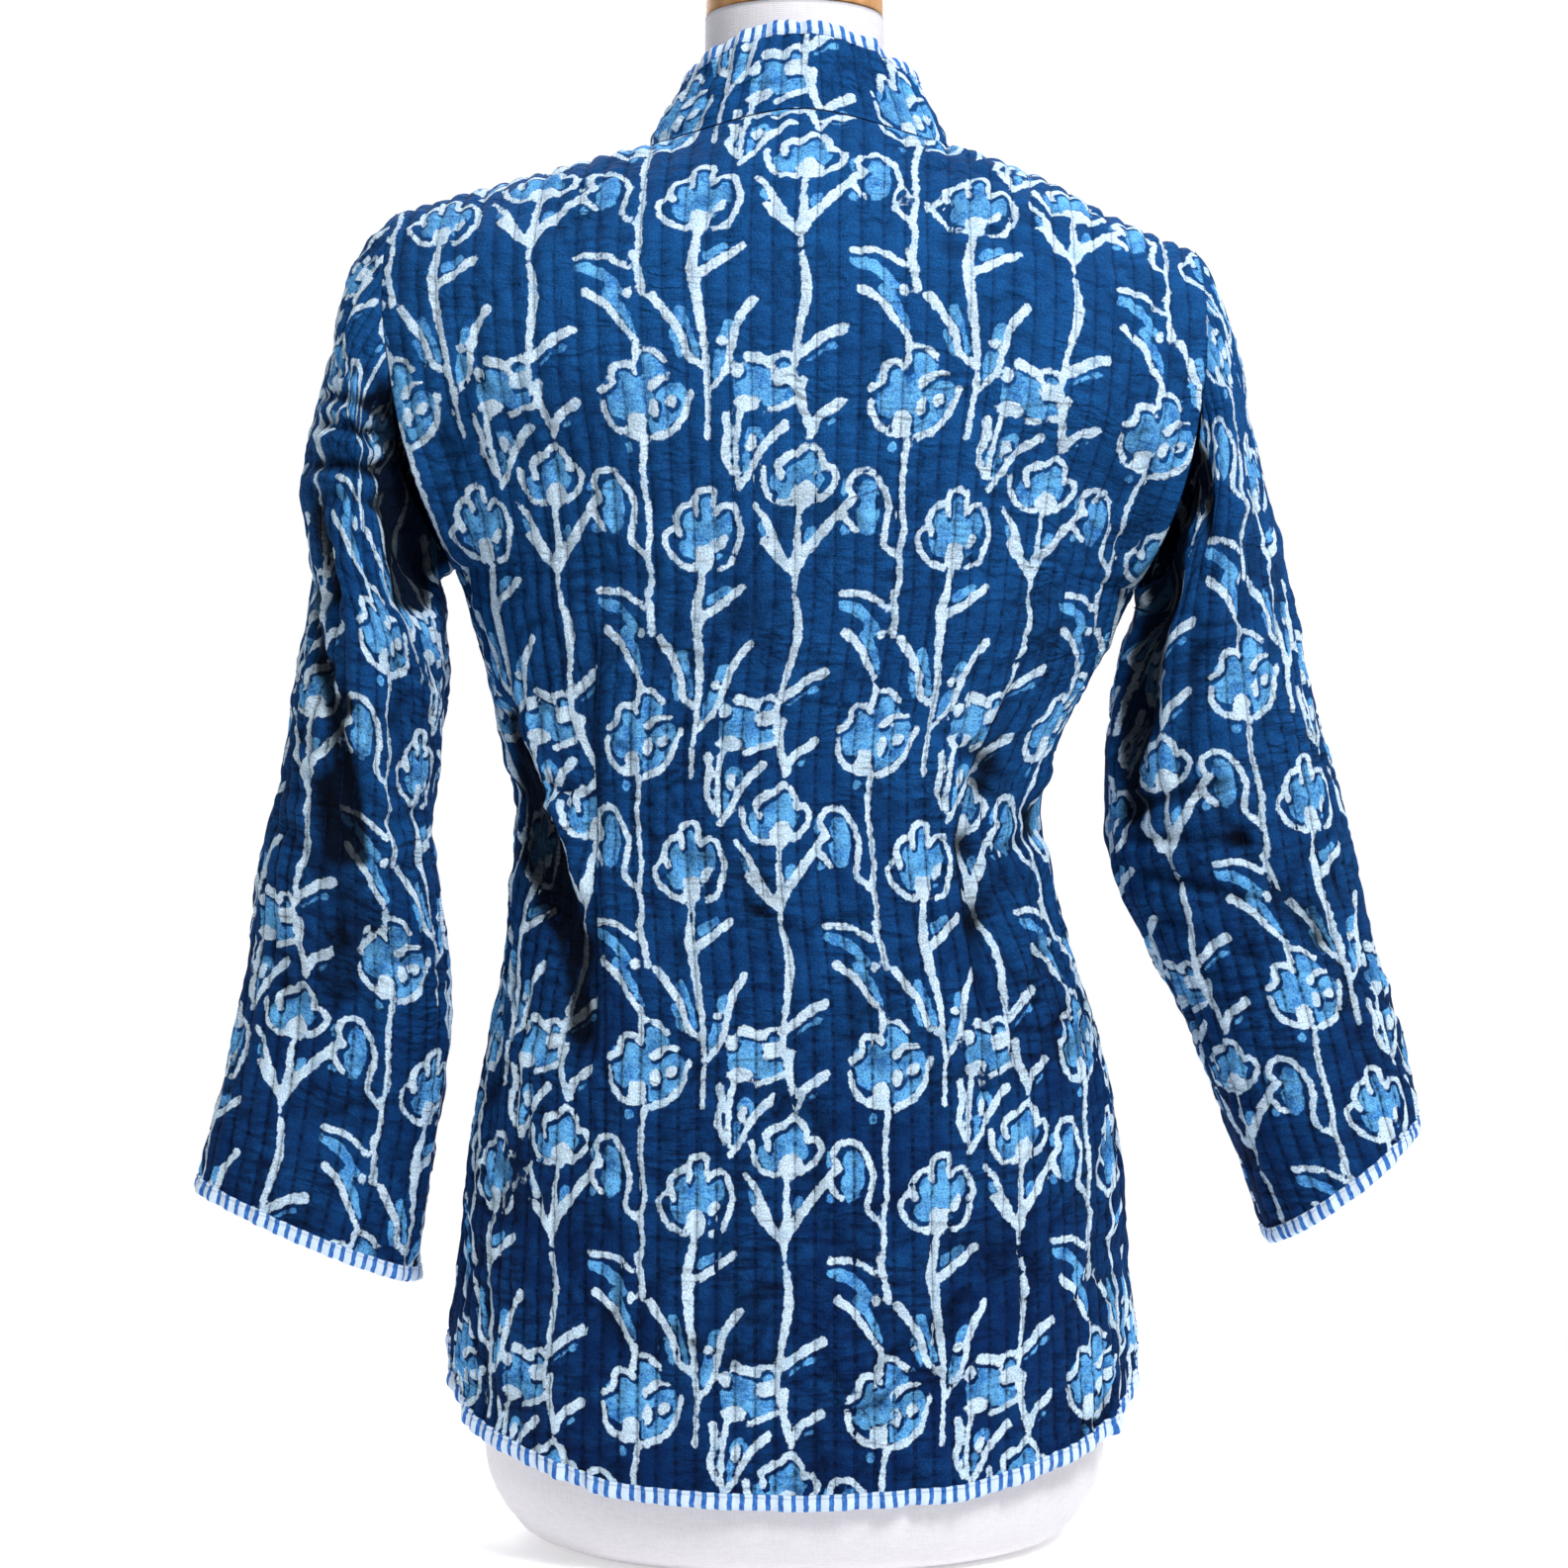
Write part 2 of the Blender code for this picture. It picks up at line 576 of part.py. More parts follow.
def build_front(side):
    """One front with the binding of its hem and centre edge."""
    name = "front_left" if side < 0 else "front_right"
    plain = panel_grid(1, side, FRONT_CHANNELS, FRONT_NECK_CHANNELS)
    plain[..., 1] = np.maximum(plain[..., 1], HALF_SEAM)
    grid, normals = finish_panel(name, plain)
    hem = slice(None, None, -2)
    across = plain[0, hem, 0] / np.abs(plain[0, :, 0]).max()
    reach = hem_reach(grid[:, hem], across)
    to_centre = np.tile((-side, 0.0, 0.0), (len(PANEL_ROWS), 1))
    corner = reach[-1] + to_centre[0]
    edge = np.concatenate([grid[0, hem], grid[1:, 0]])
    edge_normals = np.concatenate([normals[0, hem], normals[1:, 0]])
    edge_normals[-1] = (0, 1, 0)
    reaches = np.concatenate([reach[:-1], corner[None], to_centre[1:]])
    band("binding_" + name, edge, edge_normals, reaches, False, seam=1)
    return plain


def armhole_loop(back_half, front_half, side):
    """The corners of the armhole, from the armpit up the back and down the front."""
    first = PANEL_ROWS.index(1)
    back_edge = back_half[first:, -1]
    front_edge = front_half[first:, -1]
    loop = np.concatenate([back_edge, front_edge[::-1][1:]])
    loop[..., 0] = side * np.abs(loop[..., 0])
    return loop


def even_ring(line, count):
    """count points at equal steps along a closed line that ends where it starts."""
    steps = np.linalg.norm(np.diff(line, axis=0), axis=1)
    length = np.concatenate([[0], np.cumsum(steps)])
    at = np.linspace(0, length[-1], count, endpoint=False)
    return np.stack([np.interp(at, length, line[:, axis]) for axis in range(3)], axis=1)


def build_sleeve(side, back_half, front_half):
    """One sleeve through its sections, from the armhole to the bound cuff."""
    name = "sleeve_left" if side < 0 else "sleeve_right"
    table = SLEEVE_LEFT if side < 0 else SLEEVE_RIGHT
    count = SLEEVE_CHANNELS * 2
    loop = posture(armhole_loop(back_half, front_half, side))
    head = even_ring(loop, count) + (side * SEAM_GAP, 0, 0)
    rings = [head]
    angle = np.radians(np.linspace(180, -180, DENSE))
    for row in table:
        section = dict(zip(SLEEVE_COLUMNS, row))
        outer = np.array([section["outer_x"], section["outer_z"]])
        inner = np.array([section["inner_x"], section["inner_z"]])
        flat = (outer + inner) / 2 + np.cos(angle)[:, None] * (outer - inner) / 2
        x = side * (flat[:, 0] + section["bow"] * np.sin(angle) ** 2)
        y = section["middle_y"] - section["half_depth"] * np.sin(angle)
        rings.append(even_ring(np.stack([x, y, flat[:, 1]], axis=1), count))
    grid = np.array(rings)
    normals = grid_normals(grid, grid - grid.mean(axis=1, keepdims=True), True)
    lift = fold_lift(name, grid)
    lift[[0, -1]] = 0
    grid = grid + normals * lift[..., None]
    normals[0, :, 0] = 0
    normals[0] = along_axis(normals[0])
    cloth_wall(name, grid, normals, True)
    edge = grid[-1, ::2]
    reach = along_axis(grid[-1, ::2] - grid[-2, ::2])
    cuff = "binding_cuff_left" if side < 0 else "binding_cuff_right"
    band(cuff, edge, normals[-1, ::2], reach, True)


def build_collar(back_half, front_half):
    """The stand collar on the neck seam, and the binding of its ends and top edge."""
    end = np.pi - np.arcsin(FRONT_EDGE / NECK_HALF_WIDTH)
    angle = np.linspace(-end, end, COLLAR_CHANNELS * 2 + 1)
    size = np.abs(np.sin(angle))
    side = np.sign(np.sin(angle))
    at_back = np.cos(angle) >= 0
    base_x = NECK_HALF_WIDTH * size
    base = np.zeros((len(angle), 3))
    base[:, 0] = side * base_x
    for axis in (1, 2):
        back_edge = np.interp(base_x, back_half[-1, :, 0], back_half[-1, :, axis])
        front_edge = np.interp(base_x, front_half[-1, :, 0], front_half[-1, :, axis])
        base[:, axis] = np.where(at_back, back_edge, front_edge)
    base[:, 2] += COLLAR_SEAM
    lean = np.abs(np.cos(angle))
    start = FRONT_EDGE / NECK_HALF_WIDTH
    front_x = FRONT_EDGE + (COLLAR_TOP_HALF_WIDTH - FRONT_EDGE) * (size - start) / (1 - start)
    heights = COLLAR_TOP_HEIGHTS
    back_z = heights["side"] + (heights["back"] - heights["side"]) * lean**2
    front_z = heights["side"] + (heights["front"] - heights["side"]) * lean**2
    top = np.zeros_like(base)
    top[:, 0] = side * np.where(at_back, COLLAR_TOP_HALF_WIDTH * size, front_x)
    top[:, 1] = np.where(at_back, -COLLAR_TOP_BACK * lean, COLLAR_TOP_FRONT * lean)
    top[:, 2] = np.where(at_back, back_z, front_z)
    plain = np.array([base + (top - base) * share for share in (0, 0.5, 1)])
    grid = posture(plain)
    normals = grid_normals(grid, grid * (1, 1, 0), False)
    normals[0, :, 2] = 0
    normals[0] = along_axis(normals[0])
    for row in normals:
        row[[0, -1], 0] = 0
    normals = along_axis(normals)
    cloth_wall("collar", grid, normals, False, inner_step=1)
    rise = along_axis(grid[-1] - grid[-2])
    left, right = np.array([1.0, 0, 0]), np.array([-1.0, 0, 0])
    last = len(plain) - 1
    edge = np.concatenate([grid[:last, 0], grid[-1], grid[:last, -1][::-1]])
    edge_normals = np.concatenate([normals[:last, 0], normals[-1], normals[:last, -1][::-1]])
    reach = np.concatenate([np.tile(left, (last, 1)), rise, np.tile(right, (last, 1))])
    reach[last] = reach[last] + left
    reach[-last - 1] = reach[-last - 1] + right
    band("binding_collar", edge, edge_normals, reach, False)


def build_form():
    """The form as rings: base, hips, waist, chest with flat arm plates, shoulders and neck."""
    shape = form_shape()
    shares = np.linspace(0, 1, FORM_COLUMNS + 1)
    armpit = ARMHOLE_MIDDLE - shape["rise"]
    low_rows = [row[0] / armpit for row in FORM_BODY if row[0] < armpit]
    neck_share = FORM_NECK_COLUMNS / FORM_COLUMNS
    rings = []
    for up in low_rows + list(PANEL_ROWS[PANEL_ROWS.index(1) :]):
        halves = []
        for face in (-1, 1):
            across = even_columns(shape, face, shares, up, neck_share)
            half = body_point(shape, face, across, up)
            whole = np.concatenate([half[::-1] * (-1, 1, 1), half[1:]])
            halves.append(whole[::-face])
        rings.append(posture(np.concatenate(halves)))
    count = len(rings[0])
    points = np.concatenate(rings)
    numbers = np.arange(len(points)).reshape(len(rings), count)
    numbers = np.concatenate([numbers, numbers[:, :1]], axis=1)
    triangles = grid_triangles(numbers)

    neck = FORM_NECK_COLUMNS
    back_middle = FORM_COLUMNS
    front_middle = 3 * FORM_COLUMNS + 1
    back_columns = [back_middle + step for step in range(neck, -neck - 1, -1)]
    front_columns = [front_middle + step for step in range(neck - 1, -neck, -1)]
    loop = numbers[-1][back_columns + front_columns]
    seam = points[loop]
    angle = np.arctan2(seam[:, 1] - FORM_NECK_CENTRE, seam[:, 0])
    last_ring = list(loop)
    for row in FORM_NECK:
        share, height, grow = row
        radius = FORM_NECK_RADIUS * grow
        x = radius * np.cos(angle)
        y = FORM_NECK_CENTRE + radius * np.sin(angle)
        ring = np.stack([x, y, np.full(len(angle), height)], axis=1)
        ring = seam * (1 - share) + ring * share
        ring[:, 2] = height if share == 1.0 else (seam[:, 2] + height) / 2
        first = len(points)
        points = np.concatenate([points, ring])
        new_ring = list(range(first, first + len(ring)))
        pair = np.array([last_ring + last_ring[:1], new_ring + new_ring[:1]])
        triangles += grid_triangles(pair)
        last_ring = new_ring
    top_centre = len(points)
    base_centre = top_centre + 1
    points = np.concatenate([points, [[0, FORM_NECK_CENTRE, FORM_NECK_TOP], [0, 0, 0]]])
    for ring, centre in ((last_ring, top_centre), (numbers[0, :-1], base_centre)):
        triangles += [(ring[i - 1], ring[i], centre) for i in range(len(ring))]
    add_object("dress_form", points, triangles, "linen")


def build_cap():
    """The turned wooden cap that sits on the form's neck."""
    base = FORM_NECK_TOP + SEAM_GAP
    angle = np.linspace(0, 2 * np.pi, CAP_SIDES, endpoint=False)
    rings = []
    for wide, rise in CAP_PROFILE:
        x = CAP_RADIUS * wide * np.cos(angle)
        y = FORM_NECK_CENTRE + CAP_RADIUS * wide * np.sin(angle)
        rings.append(np.stack([x, y, np.full(CAP_SIDES, base + rise)], axis=1))
    numbers = np.arange(len(rings) * CAP_SIDES).reshape(len(rings), CAP_SIDES)
    numbers = np.concatenate([numbers, numbers[:, :1]], axis=1)
    triangles = grid_triangles(numbers)
    under = numbers.max() + 1
    crown = under + 1
    ends = [[0, FORM_NECK_CENTRE, base], [0, FORM_NECK_CENTRE, base + CAP_HEIGHT]]
    points = np.concatenate(rings + [ends])
    for row, centre in ((0, under), (-1, crown)):
        triangles += [(numbers[row, i], numbers[row, i + 1], centre) for i in range(CAP_SIDES)]
    add_object("neck_cap", points, triangles, "wood")


def main():
    for item in list(bpy.data.objects):
        bpy.data.objects.remove(item)
    back = build_back()
    back_half = back[:, BACK_HALF_CHANNELS * 2 :]
    fronts = {side: build_front(side) for side in (-1, 1)}
    front_half = fronts[1]
    for side in (-1, 1):
        build_sleeve(side, back_half, front_half)
    build_collar(back_half, front_half)
    build_form()
    build_cap()


main()
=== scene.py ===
# %% [markdown]
# # A quilted jacket on its dress form, seen from behind
#
# The jacket is two thin cottons with a little wadding between them. They are sewn together in
# straight rows before anything is cut, so the rows run with the grain of each piece and stop where a
# seam or a dart cuts them. The outer cotton is printed by hand with indigo flowers.
#
# The lesson follows the maker's order: cut each piece, quilt it, print it, bind its edges, sew the
# rows, and stand it all on the form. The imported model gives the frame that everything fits.

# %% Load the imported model
import math

import bpy
import numpy as np
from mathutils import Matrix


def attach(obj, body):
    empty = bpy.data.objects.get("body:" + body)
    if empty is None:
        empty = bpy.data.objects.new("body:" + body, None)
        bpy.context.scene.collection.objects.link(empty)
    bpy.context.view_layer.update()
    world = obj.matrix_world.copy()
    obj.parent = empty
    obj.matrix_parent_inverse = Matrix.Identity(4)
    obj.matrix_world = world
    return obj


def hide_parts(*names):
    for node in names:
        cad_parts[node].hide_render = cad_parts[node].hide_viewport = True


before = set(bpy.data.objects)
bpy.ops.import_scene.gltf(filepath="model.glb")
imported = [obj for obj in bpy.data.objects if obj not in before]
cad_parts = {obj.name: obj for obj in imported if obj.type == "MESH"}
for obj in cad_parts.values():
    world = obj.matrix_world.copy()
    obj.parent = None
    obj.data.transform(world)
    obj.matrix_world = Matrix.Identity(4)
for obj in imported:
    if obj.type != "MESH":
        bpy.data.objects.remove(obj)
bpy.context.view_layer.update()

# %% [markdown]
# ## The camera
#
# The photo was taken from straight behind, level with the waist and from close by. The camera stands
# at that place. Its lens follows from the size of one pixel at the form's axis, so that the jacket
# fills the frame as it does in the photo. It is made first, because everything later is judged
# through it.

# %% Stand the camera behind the jacket
IMAGE_WIDTH = 1585
AXIS_PIXEL = 803
EYE_HEIGHT = 0.365
CAMERA_DISTANCE = 1.62
PIXEL_AT_AXIS = 0.000485
SENSOR_WIDTH = 36.0


def add_object(name, data):
    """A new object in the scene, standing at the origin."""
    made = bpy.data.objects.new(name, data)
    bpy.context.scene.collection.objects.link(made)
    return made


camera_data = bpy.data.cameras.new("camera")
camera = add_object("camera", camera_data)
camera_data.sensor_width = SENSOR_WIDTH
camera_data.lens = SENSOR_WIDTH * CAMERA_DISTANCE / (PIXEL_AT_AXIS * IMAGE_WIDTH)
camera.location = ((IMAGE_WIDTH / 2 - AXIS_PIXEL) * PIXEL_AT_AXIS, -CAMERA_DISTANCE, EYE_HEIGHT)
camera.rotation_euler = (math.radians(90), 0, 0)
bpy.context.scene.camera = camera
print("lens, mm:", round(camera_data.lens, 1))

# %% [markdown]
# ## The sizes of the garment
#
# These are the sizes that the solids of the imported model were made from, in metres. Repeating them
# here lets the visible cloth follow the same surface with far more points, so it lies exactly where
# the model says and needs no fitting.

# %% Sizes of the jacket and the form
WALL = 0.0016
SEAM_GAP = 0.0003
BINDING_WIDTH = 0.0073
BINDING_REACH = SEAM_GAP + BINDING_WIDTH
FRONT_EDGE = 0.0010 + BINDING_REACH
ARMHOLE_MIDDLE = 0.557
ARMHOLE_RISE = 0.087
ARMHOLE_DEPTH = 0.058
ARMPIT = ARMHOLE_MIDDLE - ARMHOLE_RISE
CHEST_START = 0.38
SHOULDER_HALF_WIDTH = 0.195
SHOULDER_START = 0.075
FORM_SHOULDER_START = 0.115
NECK_HALF_WIDTH = 0.0735
NECK_BACK_DEPTH = 0.048
NECK_FRONT_DEPTH = 0.066
NECK_SIDE_HEIGHT = 0.6765
NECK_BACK_RISE = 0.010
NECK_FRONT_DROP = 0.0415
SHOULDER_FALL = 0.2675
COLLAR_TOP_HALF_WIDTH = 0.0583
COLLAR_TOP_BACK = 0.042
COLLAR_TOP_FRONT = 0.060
COLLAR_TOP_HEIGHTS = {"back": 0.7235, "side": 0.7050, "front": 0.6650}
COLLAR_SEAM = 0.0005
DROOP = 0.019
WAIST_SHIFT = -0.008
NECK_SHIFT = 0.0024
FORM_GAP = 0.0008
FORM_NECK_RADIUS = 0.0445
FORM_NECK_CENTRE = 0.010
FORM_NECK_TOP = 0.742
CAP_RADIUS = 0.0435

# The tables of the bodies and the sleeves are in millimetres
BODY_COLUMNS = ("height", "half_width", "back_depth", "front_depth")
JACKET_BODY = (
    (30, 168.5, 118, 108), (93, 167.6, 117, 108),
    (143, 161.6, 112, 106), (177, 160, 107, 104),
    (235, 150, 96, 99), (274, 140, 87, 96),
    (320, 131.5, 79, 94), (353, 128.4, 75.5, 94.5),
    (382, 135, 77, 97.5), (419, 147.7, 83.5, 106),
    (470, 166.5, 94.5, 119), (500, 178, 100.5, 124),
    (530, 186.5, 104, 124), (557, 191.5, 105, 120),
    (600, 196.5, 105, 120), (650, 195, 105, 120),
)
FORM_BODY = (
    (0, 118, 92, 86), (4, 129, 100, 93),
    (11, 137, 106, 98), (24, 146, 111, 102),
    (56, 152, 113, 103), (143, 152, 106, 101),
    (235, 141, 89.5, 93), (320, 120.5, 69, 87.5),
    (353, 118, 67, 88), (382, 125, 69, 91),
    (419, 138, 76, 99), (470, 158, 88, 112.5),
    (557, 184, 98, 111), (650, 188, 98, 111),
)
HEM_COLUMNS = ("turn", "height", "lean")
HEM = (
    (0.00, 0.0340, 1.00), (0.20, 0.0360, 1.00),
    (0.32, 0.0377, 1.02), (0.40, 0.0415, 1.05),
    (0.50, 0.0473, 1.05), (0.60, 0.0532, 1.05),
    (0.70, 0.0593, 1.08), (0.80, 0.0690, 1.14),
    (0.90, 0.0825, 1.19), (1.00, 0.0950, 1.18),
)
SLEEVE_COLUMNS = ("outer_x", "outer_z", "inner_x", "inner_z", "half_depth", "middle_y", "bow")
SLEEVES = {
    "sleeve_left": (
        (213.5, 620, 173.5, 465.5, 60, 0, 8.5), (223, 582, 173, 458, 64, 0, 6.5),
        (232, 550, 171.8, 447, 68, 1, 4), (240, 515, 171.2, 432, 69, 2, 1.5),
        (236, 472, 171.6, 412, 67, 4, 0), (243.5, 419, 174.5, 380, 64, 7, 0),
        (252, 368, 179, 345, 60, 10, 0), (264, 321, 174, 302, 51, 13, 0),
        (270.6, 274, 170, 262, 46, 15, 0), (279, 235, 172, 225, 40, 16, 0),
        (288, 198, 180, 172, 36, 17, 0), (294.2, 172.4, 186.4, 126.2, 34, 18, 0),
    ),
    "sleeve_right": (
        (206, 603, 169, 453, 60, 0, 8.5), (215.5, 572, 168, 448, 64, 0, 6.5),
        (222.5, 535, 165, 440, 67, 1, 4), (232.8, 498, 161, 429, 67, 2, 1.5),
        (243, 456, 157, 410, 64, 4, 0), (252, 415, 154.8, 385, 60, 6, 0),
        (264, 374, 154.6, 356, 55, 8, 0), (275.8, 329, 156.5, 326, 50, 10, 0),
        (286, 287, 169, 296, 48, 12, 0), (296, 252, 186, 264, 47, 14, 0),
        (303, 224, 208, 214, 47, 15, 0), (306.5, 204.3, 232.2, 146.2, 47, 16, 0),
    ),
}
print("shoulder width, mm:", round(2000 * SHOULDER_HALF_WIDTH))

# %% [markdown]
# ## Reading a table smoothly
#
# A pattern cutter measures a body at a few heights and draws a fair curve through the marks. The
# helper below does that with a cubic curve through a table's rows. A second helper gives soft noise
# from a hashed grid: it is the same on every run, and it gives cloth its small accidents.

# %% Curves, steps and noise
def soft_step(value, low, high):
    """0 below low, 1 above high and a smooth rise between them."""
    share = np.clip((value - low) / (high - low), 0.0, 1.0)
    return share * share * (3.0 - 2.0 * share)


def read_table(rows, columns, name, at):
    """A smooth curve through one named column, read at the values of the table's first column."""
    keys = np.array([row[0] for row in rows], float)
    values = np.array([row[columns.index(name)] for row in rows], float)
    return smooth_through(keys, values, np.clip(at, keys[0], keys[-1]))


def smooth_through(keys, values, at):
    """A cubic curve through values at keys; values may be numbers, points or whole rings."""
    slopes = np.gradient(values, keys, axis=0)
    left = np.clip(np.searchsorted(keys, at, side="right") - 1, 0, len(keys) - 2)
    span = keys[left + 1] - keys[left]
    share = (at - keys[left]) / span
    extra = (1,) * (values.ndim - 1)
    span = np.reshape(span, np.shape(span) + extra)
    share = np.reshape(share, np.shape(share) + extra)
    near = (1 + 2 * share) * (1 - share) ** 2 * values[left]
    far = share**2 * (3 - 2 * share) * values[left + 1]
    lean = share * (1 - share) ** 2 * span * slopes[left]
    pull = share**2 * (share - 1) * span * slopes[left + 1]
    return near + far + lean + pull


def length_along(line):
    """How far along a line each of its points lies."""
    steps = np.linalg.norm(np.diff(line, axis=0), axis=1)
    return np.concatenate([[0], np.cumsum(steps)])


def unit(vectors):
    """The vectors at unit length."""
    length = np.linalg.norm(vectors, axis=-1, keepdims=True)
    return vectors / np.maximum(length, 1e-12)


def grid_noise(column, row, seed):
    """A fixed value from 0 to 1 for each cell of an endless grid."""
    mixed = column.astype(np.int64) * 374761393 + row.astype(np.int64) * 668265263 + seed * 974711
    mixed = (mixed ^ (mixed >> 13)) * 1274126177
    mixed = mixed ^ (mixed >> 16)
    return (mixed & 0xFFFFFF) / 0xFFFFFF


def soft_noise(u, v, seed):
    """Smooth noise from -1 to 1, with one bump to a unit of u and v."""
    column, row = np.floor(u), np.floor(v)
    across = soft_step(u - column, 0, 1)
    up = soft_step(v - row, 0, 1)
    low = grid_noise(column, row, seed) * (1 - across) + grid_noise(column + 1, row, seed) * across
    high = grid_noise(column, row + 1, seed) * (1 - across)
    high = high + grid_noise(column + 1, row + 1, seed) * across
    return 2 * (low * (1 - up) + high * up) - 1


print("noise sample:", soft_noise(np.array([0.3]), np.array([1.7]), 5).round(3))

# %% [markdown]
# ## The surface of the body
#
# The back, the fronts and the dress form share one rule. Two numbers name a place on it: how far
# across it lies, from the centre line to the side seam or armhole, and how far up, from the hem past
# the armpit to the shoulder. The crown above the chest curves over to the shoulder line, and the
# neck is cut out of it. The last step lets the jacket sit as it does in the photo: one shoulder lower
# and the waist pulled a little to one side.

# %% Two shapes for one rule
JACKET = dict(
    body=np.array(JACKET_BODY) / 1000, hem=HEM, centre=0.0, rise=ARMHOLE_RISE,
    arm_depth=ARMHOLE_DEPTH, top_width=SHOULDER_HALF_WIDTH, neck_half=NECK_HALF_WIDTH,
    neck_back=NECK_BACK_DEPTH, neck_front=NECK_FRONT_DEPTH, drop=0.0, neck_drop=0.0,
)
JACKET_FRONT = dict(JACKET, centre=FRONT_EDGE)
FORM_TOP_WIDTH = 0.187
FORM_DROP = WALL + FORM_GAP
FORM_SHOULDER = NECK_SIDE_HEIGHT - SHOULDER_FALL * (FORM_TOP_WIDTH - NECK_HALF_WIDTH) - FORM_DROP
FORM = dict(
    body=np.array(FORM_BODY) / 1000, hem=None, centre=0.0, rise=FORM_SHOULDER - ARMHOLE_MIDDLE,
    arm_depth=0.052, top_width=FORM_TOP_WIDTH, neck_half=0.0705, neck_back=0.045, neck_front=0.062,
    drop=FORM_DROP, neck_drop=0.0052,
)
print("the form's shoulder, m up:", round(FORM_SHOULDER, 4))

# %% A place on the body
# How square the body's section is at the hips, and what the chest adds to it
HIP_FULLNESS = 2.3
CHEST_FULLNESS = 0.3
HIP_RIM = 0.47
CHEST_RIM = 0.53
ARMHOLE_PULL = 8


def body_point(shape, face, across, up):
    """Points on the +X side: face -1 is the back; up is 0 hem, 1 armpit, 2 armhole, 3 shoulder."""
    across, up = np.broadcast_arrays(np.asarray(across, float), np.asarray(up, float))
    centre = shape["centre"]
    armpit = ARMHOLE_MIDDLE - shape["rise"]
    lowest = np.zeros_like(across)
    if shape["hem"]:
        turn = np.arcsin(np.clip(across, 0, 1)) * 2 / np.pi
        height = read_table(HEM, HEM_COLUMNS, "height", turn)
        lowest = height + BINDING_REACH * read_table(HEM, HEM_COLUMNS, "lean", turn)
    swing = np.radians(90) * (np.clip(up, 1, 3) - 2)
    edge_height = ARMHOLE_MIDDLE + shape["rise"] * np.sin(swing)
    low_height = lowest + (armpit - lowest) * np.clip(up, 0, 1)
    height = np.where(up < 1, low_height, np.minimum(edge_height, ARMHOLE_MIDDLE))
    width_height = np.where(up < 1, low_height, edge_height)
    half_width = read_table(shape["body"], BODY_COLUMNS, "half_width", width_height)
    x = centre + (half_width - centre) * across
    depth_name = "back_depth" if face < 0 else "front_depth"
    depth = read_table(shape["body"], BODY_COLUMNS, depth_name, height)
    edge_depth = np.where(up < 1, 0.0, shape["arm_depth"] * np.cos(np.minimum(swing, 0.0)))
    rise = soft_step(height, CHEST_START, ARMHOLE_MIDDLE)
    fullness = HIP_FULLNESS + CHEST_FULLNESS * rise
    ratio = x / half_width
    rim = np.clip(1.0 - ratio**fullness, 0.0, 1.0) ** (HIP_RIM + CHEST_RIM * rise)
    edge_pull = fullness + ARMHOLE_PULL * (1 - soft_step(height, ARMPIT, ARMHOLE_MIDDLE))
    y = depth * rim + edge_depth * ratio**edge_pull

    top_x = centre + (shape["top_width"] - centre) * across
    neck_half = shape["neck_half"]
    neck_depth = shape["neck_back"] if face < 0 else shape["neck_front"]
    neck_rise = NECK_BACK_RISE if face < 0 else -NECK_FRONT_DROP
    level = NECK_SIDE_HEIGHT - shape["drop"] - ARMHOLE_MIDDLE
    middle_depth = read_table(shape["body"], BODY_COLUMNS, depth_name, ARMHOLE_MIDDLE)
    centre_crown = (level + neck_rise) / np.sqrt(1 - (neck_depth / middle_depth) ** 2)
    shoulder_crown = level - SHOULDER_FALL * (np.maximum(top_x, neck_half) - NECK_HALF_WIDTH)
    share = np.clip(top_x / neck_half, 0.0, 1.0)
    to_side = share**2 * (3 - 2 * share)
    slope = -SHOULDER_FALL * neck_half * share**2 * (share - 1)
    crown = centre_crown * (1 - to_side) + shoulder_crown * to_side + slope
    crown = crown - shape["neck_drop"] * (1 - soft_step(top_x, SHOULDER_START, FORM_SHOULDER_START))
    top_y = neck_depth * np.sqrt(1 - share**2)
    bend = np.arccos(np.clip(top_y / np.maximum(y, 1e-6), 0.0, 1.0)) * np.clip(up - 2, 0, 1)
    z = np.where(up > 2, ARMHOLE_MIDDLE + crown * np.sin(bend), height)
    y = np.where(up > 2, y * np.cos(bend), y)
    return np.stack([x, face * y, z], axis=-1)


print("back of the neck, mm:", (body_point(JACKET, -1, 0.0, 3.0) * 1000).round(1))

# %% How the body stands, and which way its surface faces
# Between which heights the right shoulder drops, the waist moves out and back, and the neck moves
DROOP_HEIGHTS = (0.34, 0.56)
WAIST_OUT = (0.24, 0.35)
WAIST_BACK = (0.37, 0.46)
NECK_HEIGHTS = (0.62, 0.68)
MIDDLE_OF_CHEST = (0, 0, 0.45)


def posture(points):
    """How the jacket and the form sit: the right shoulder low, the waist off to the left."""
    moved = np.array(points, float)
    x, z = points[..., 0], points[..., 2]
    to_right = soft_step(x, SHOULDER_START, SHOULDER_HALF_WIDTH)
    moved[..., 2] -= DROOP * to_right * soft_step(z, *DROOP_HEIGHTS)
    waist = soft_step(z, *WAIST_OUT) * (1 - soft_step(z, *WAIST_BACK))
    moved[..., 0] += WAIST_SHIFT * waist + NECK_SHIFT * soft_step(z, *NECK_HEIGHTS)
    return moved


def grid_normals(grid, outward, closed=False):
    """Unit normals of a grid of points, turned to the side of the outward vectors."""
    down = np.gradient(grid, axis=0)
    across = np.gradient(grid, axis=1)
    if closed:
        seam = grid[:, 1] - grid[:, -2]
        across[:, 0] = seam
        across[:, -1] = seam
    normals = unit(np.cross(across, down))
    sign = np.sign(np.sum(normals * outward, axis=-1, keepdims=True))
    return normals * np.where(sign == 0, 1, sign)


print("the neck moves by, mm:", (posture(np.array([0.0, 0.0, 0.7]))[0] * 1000).round(1))

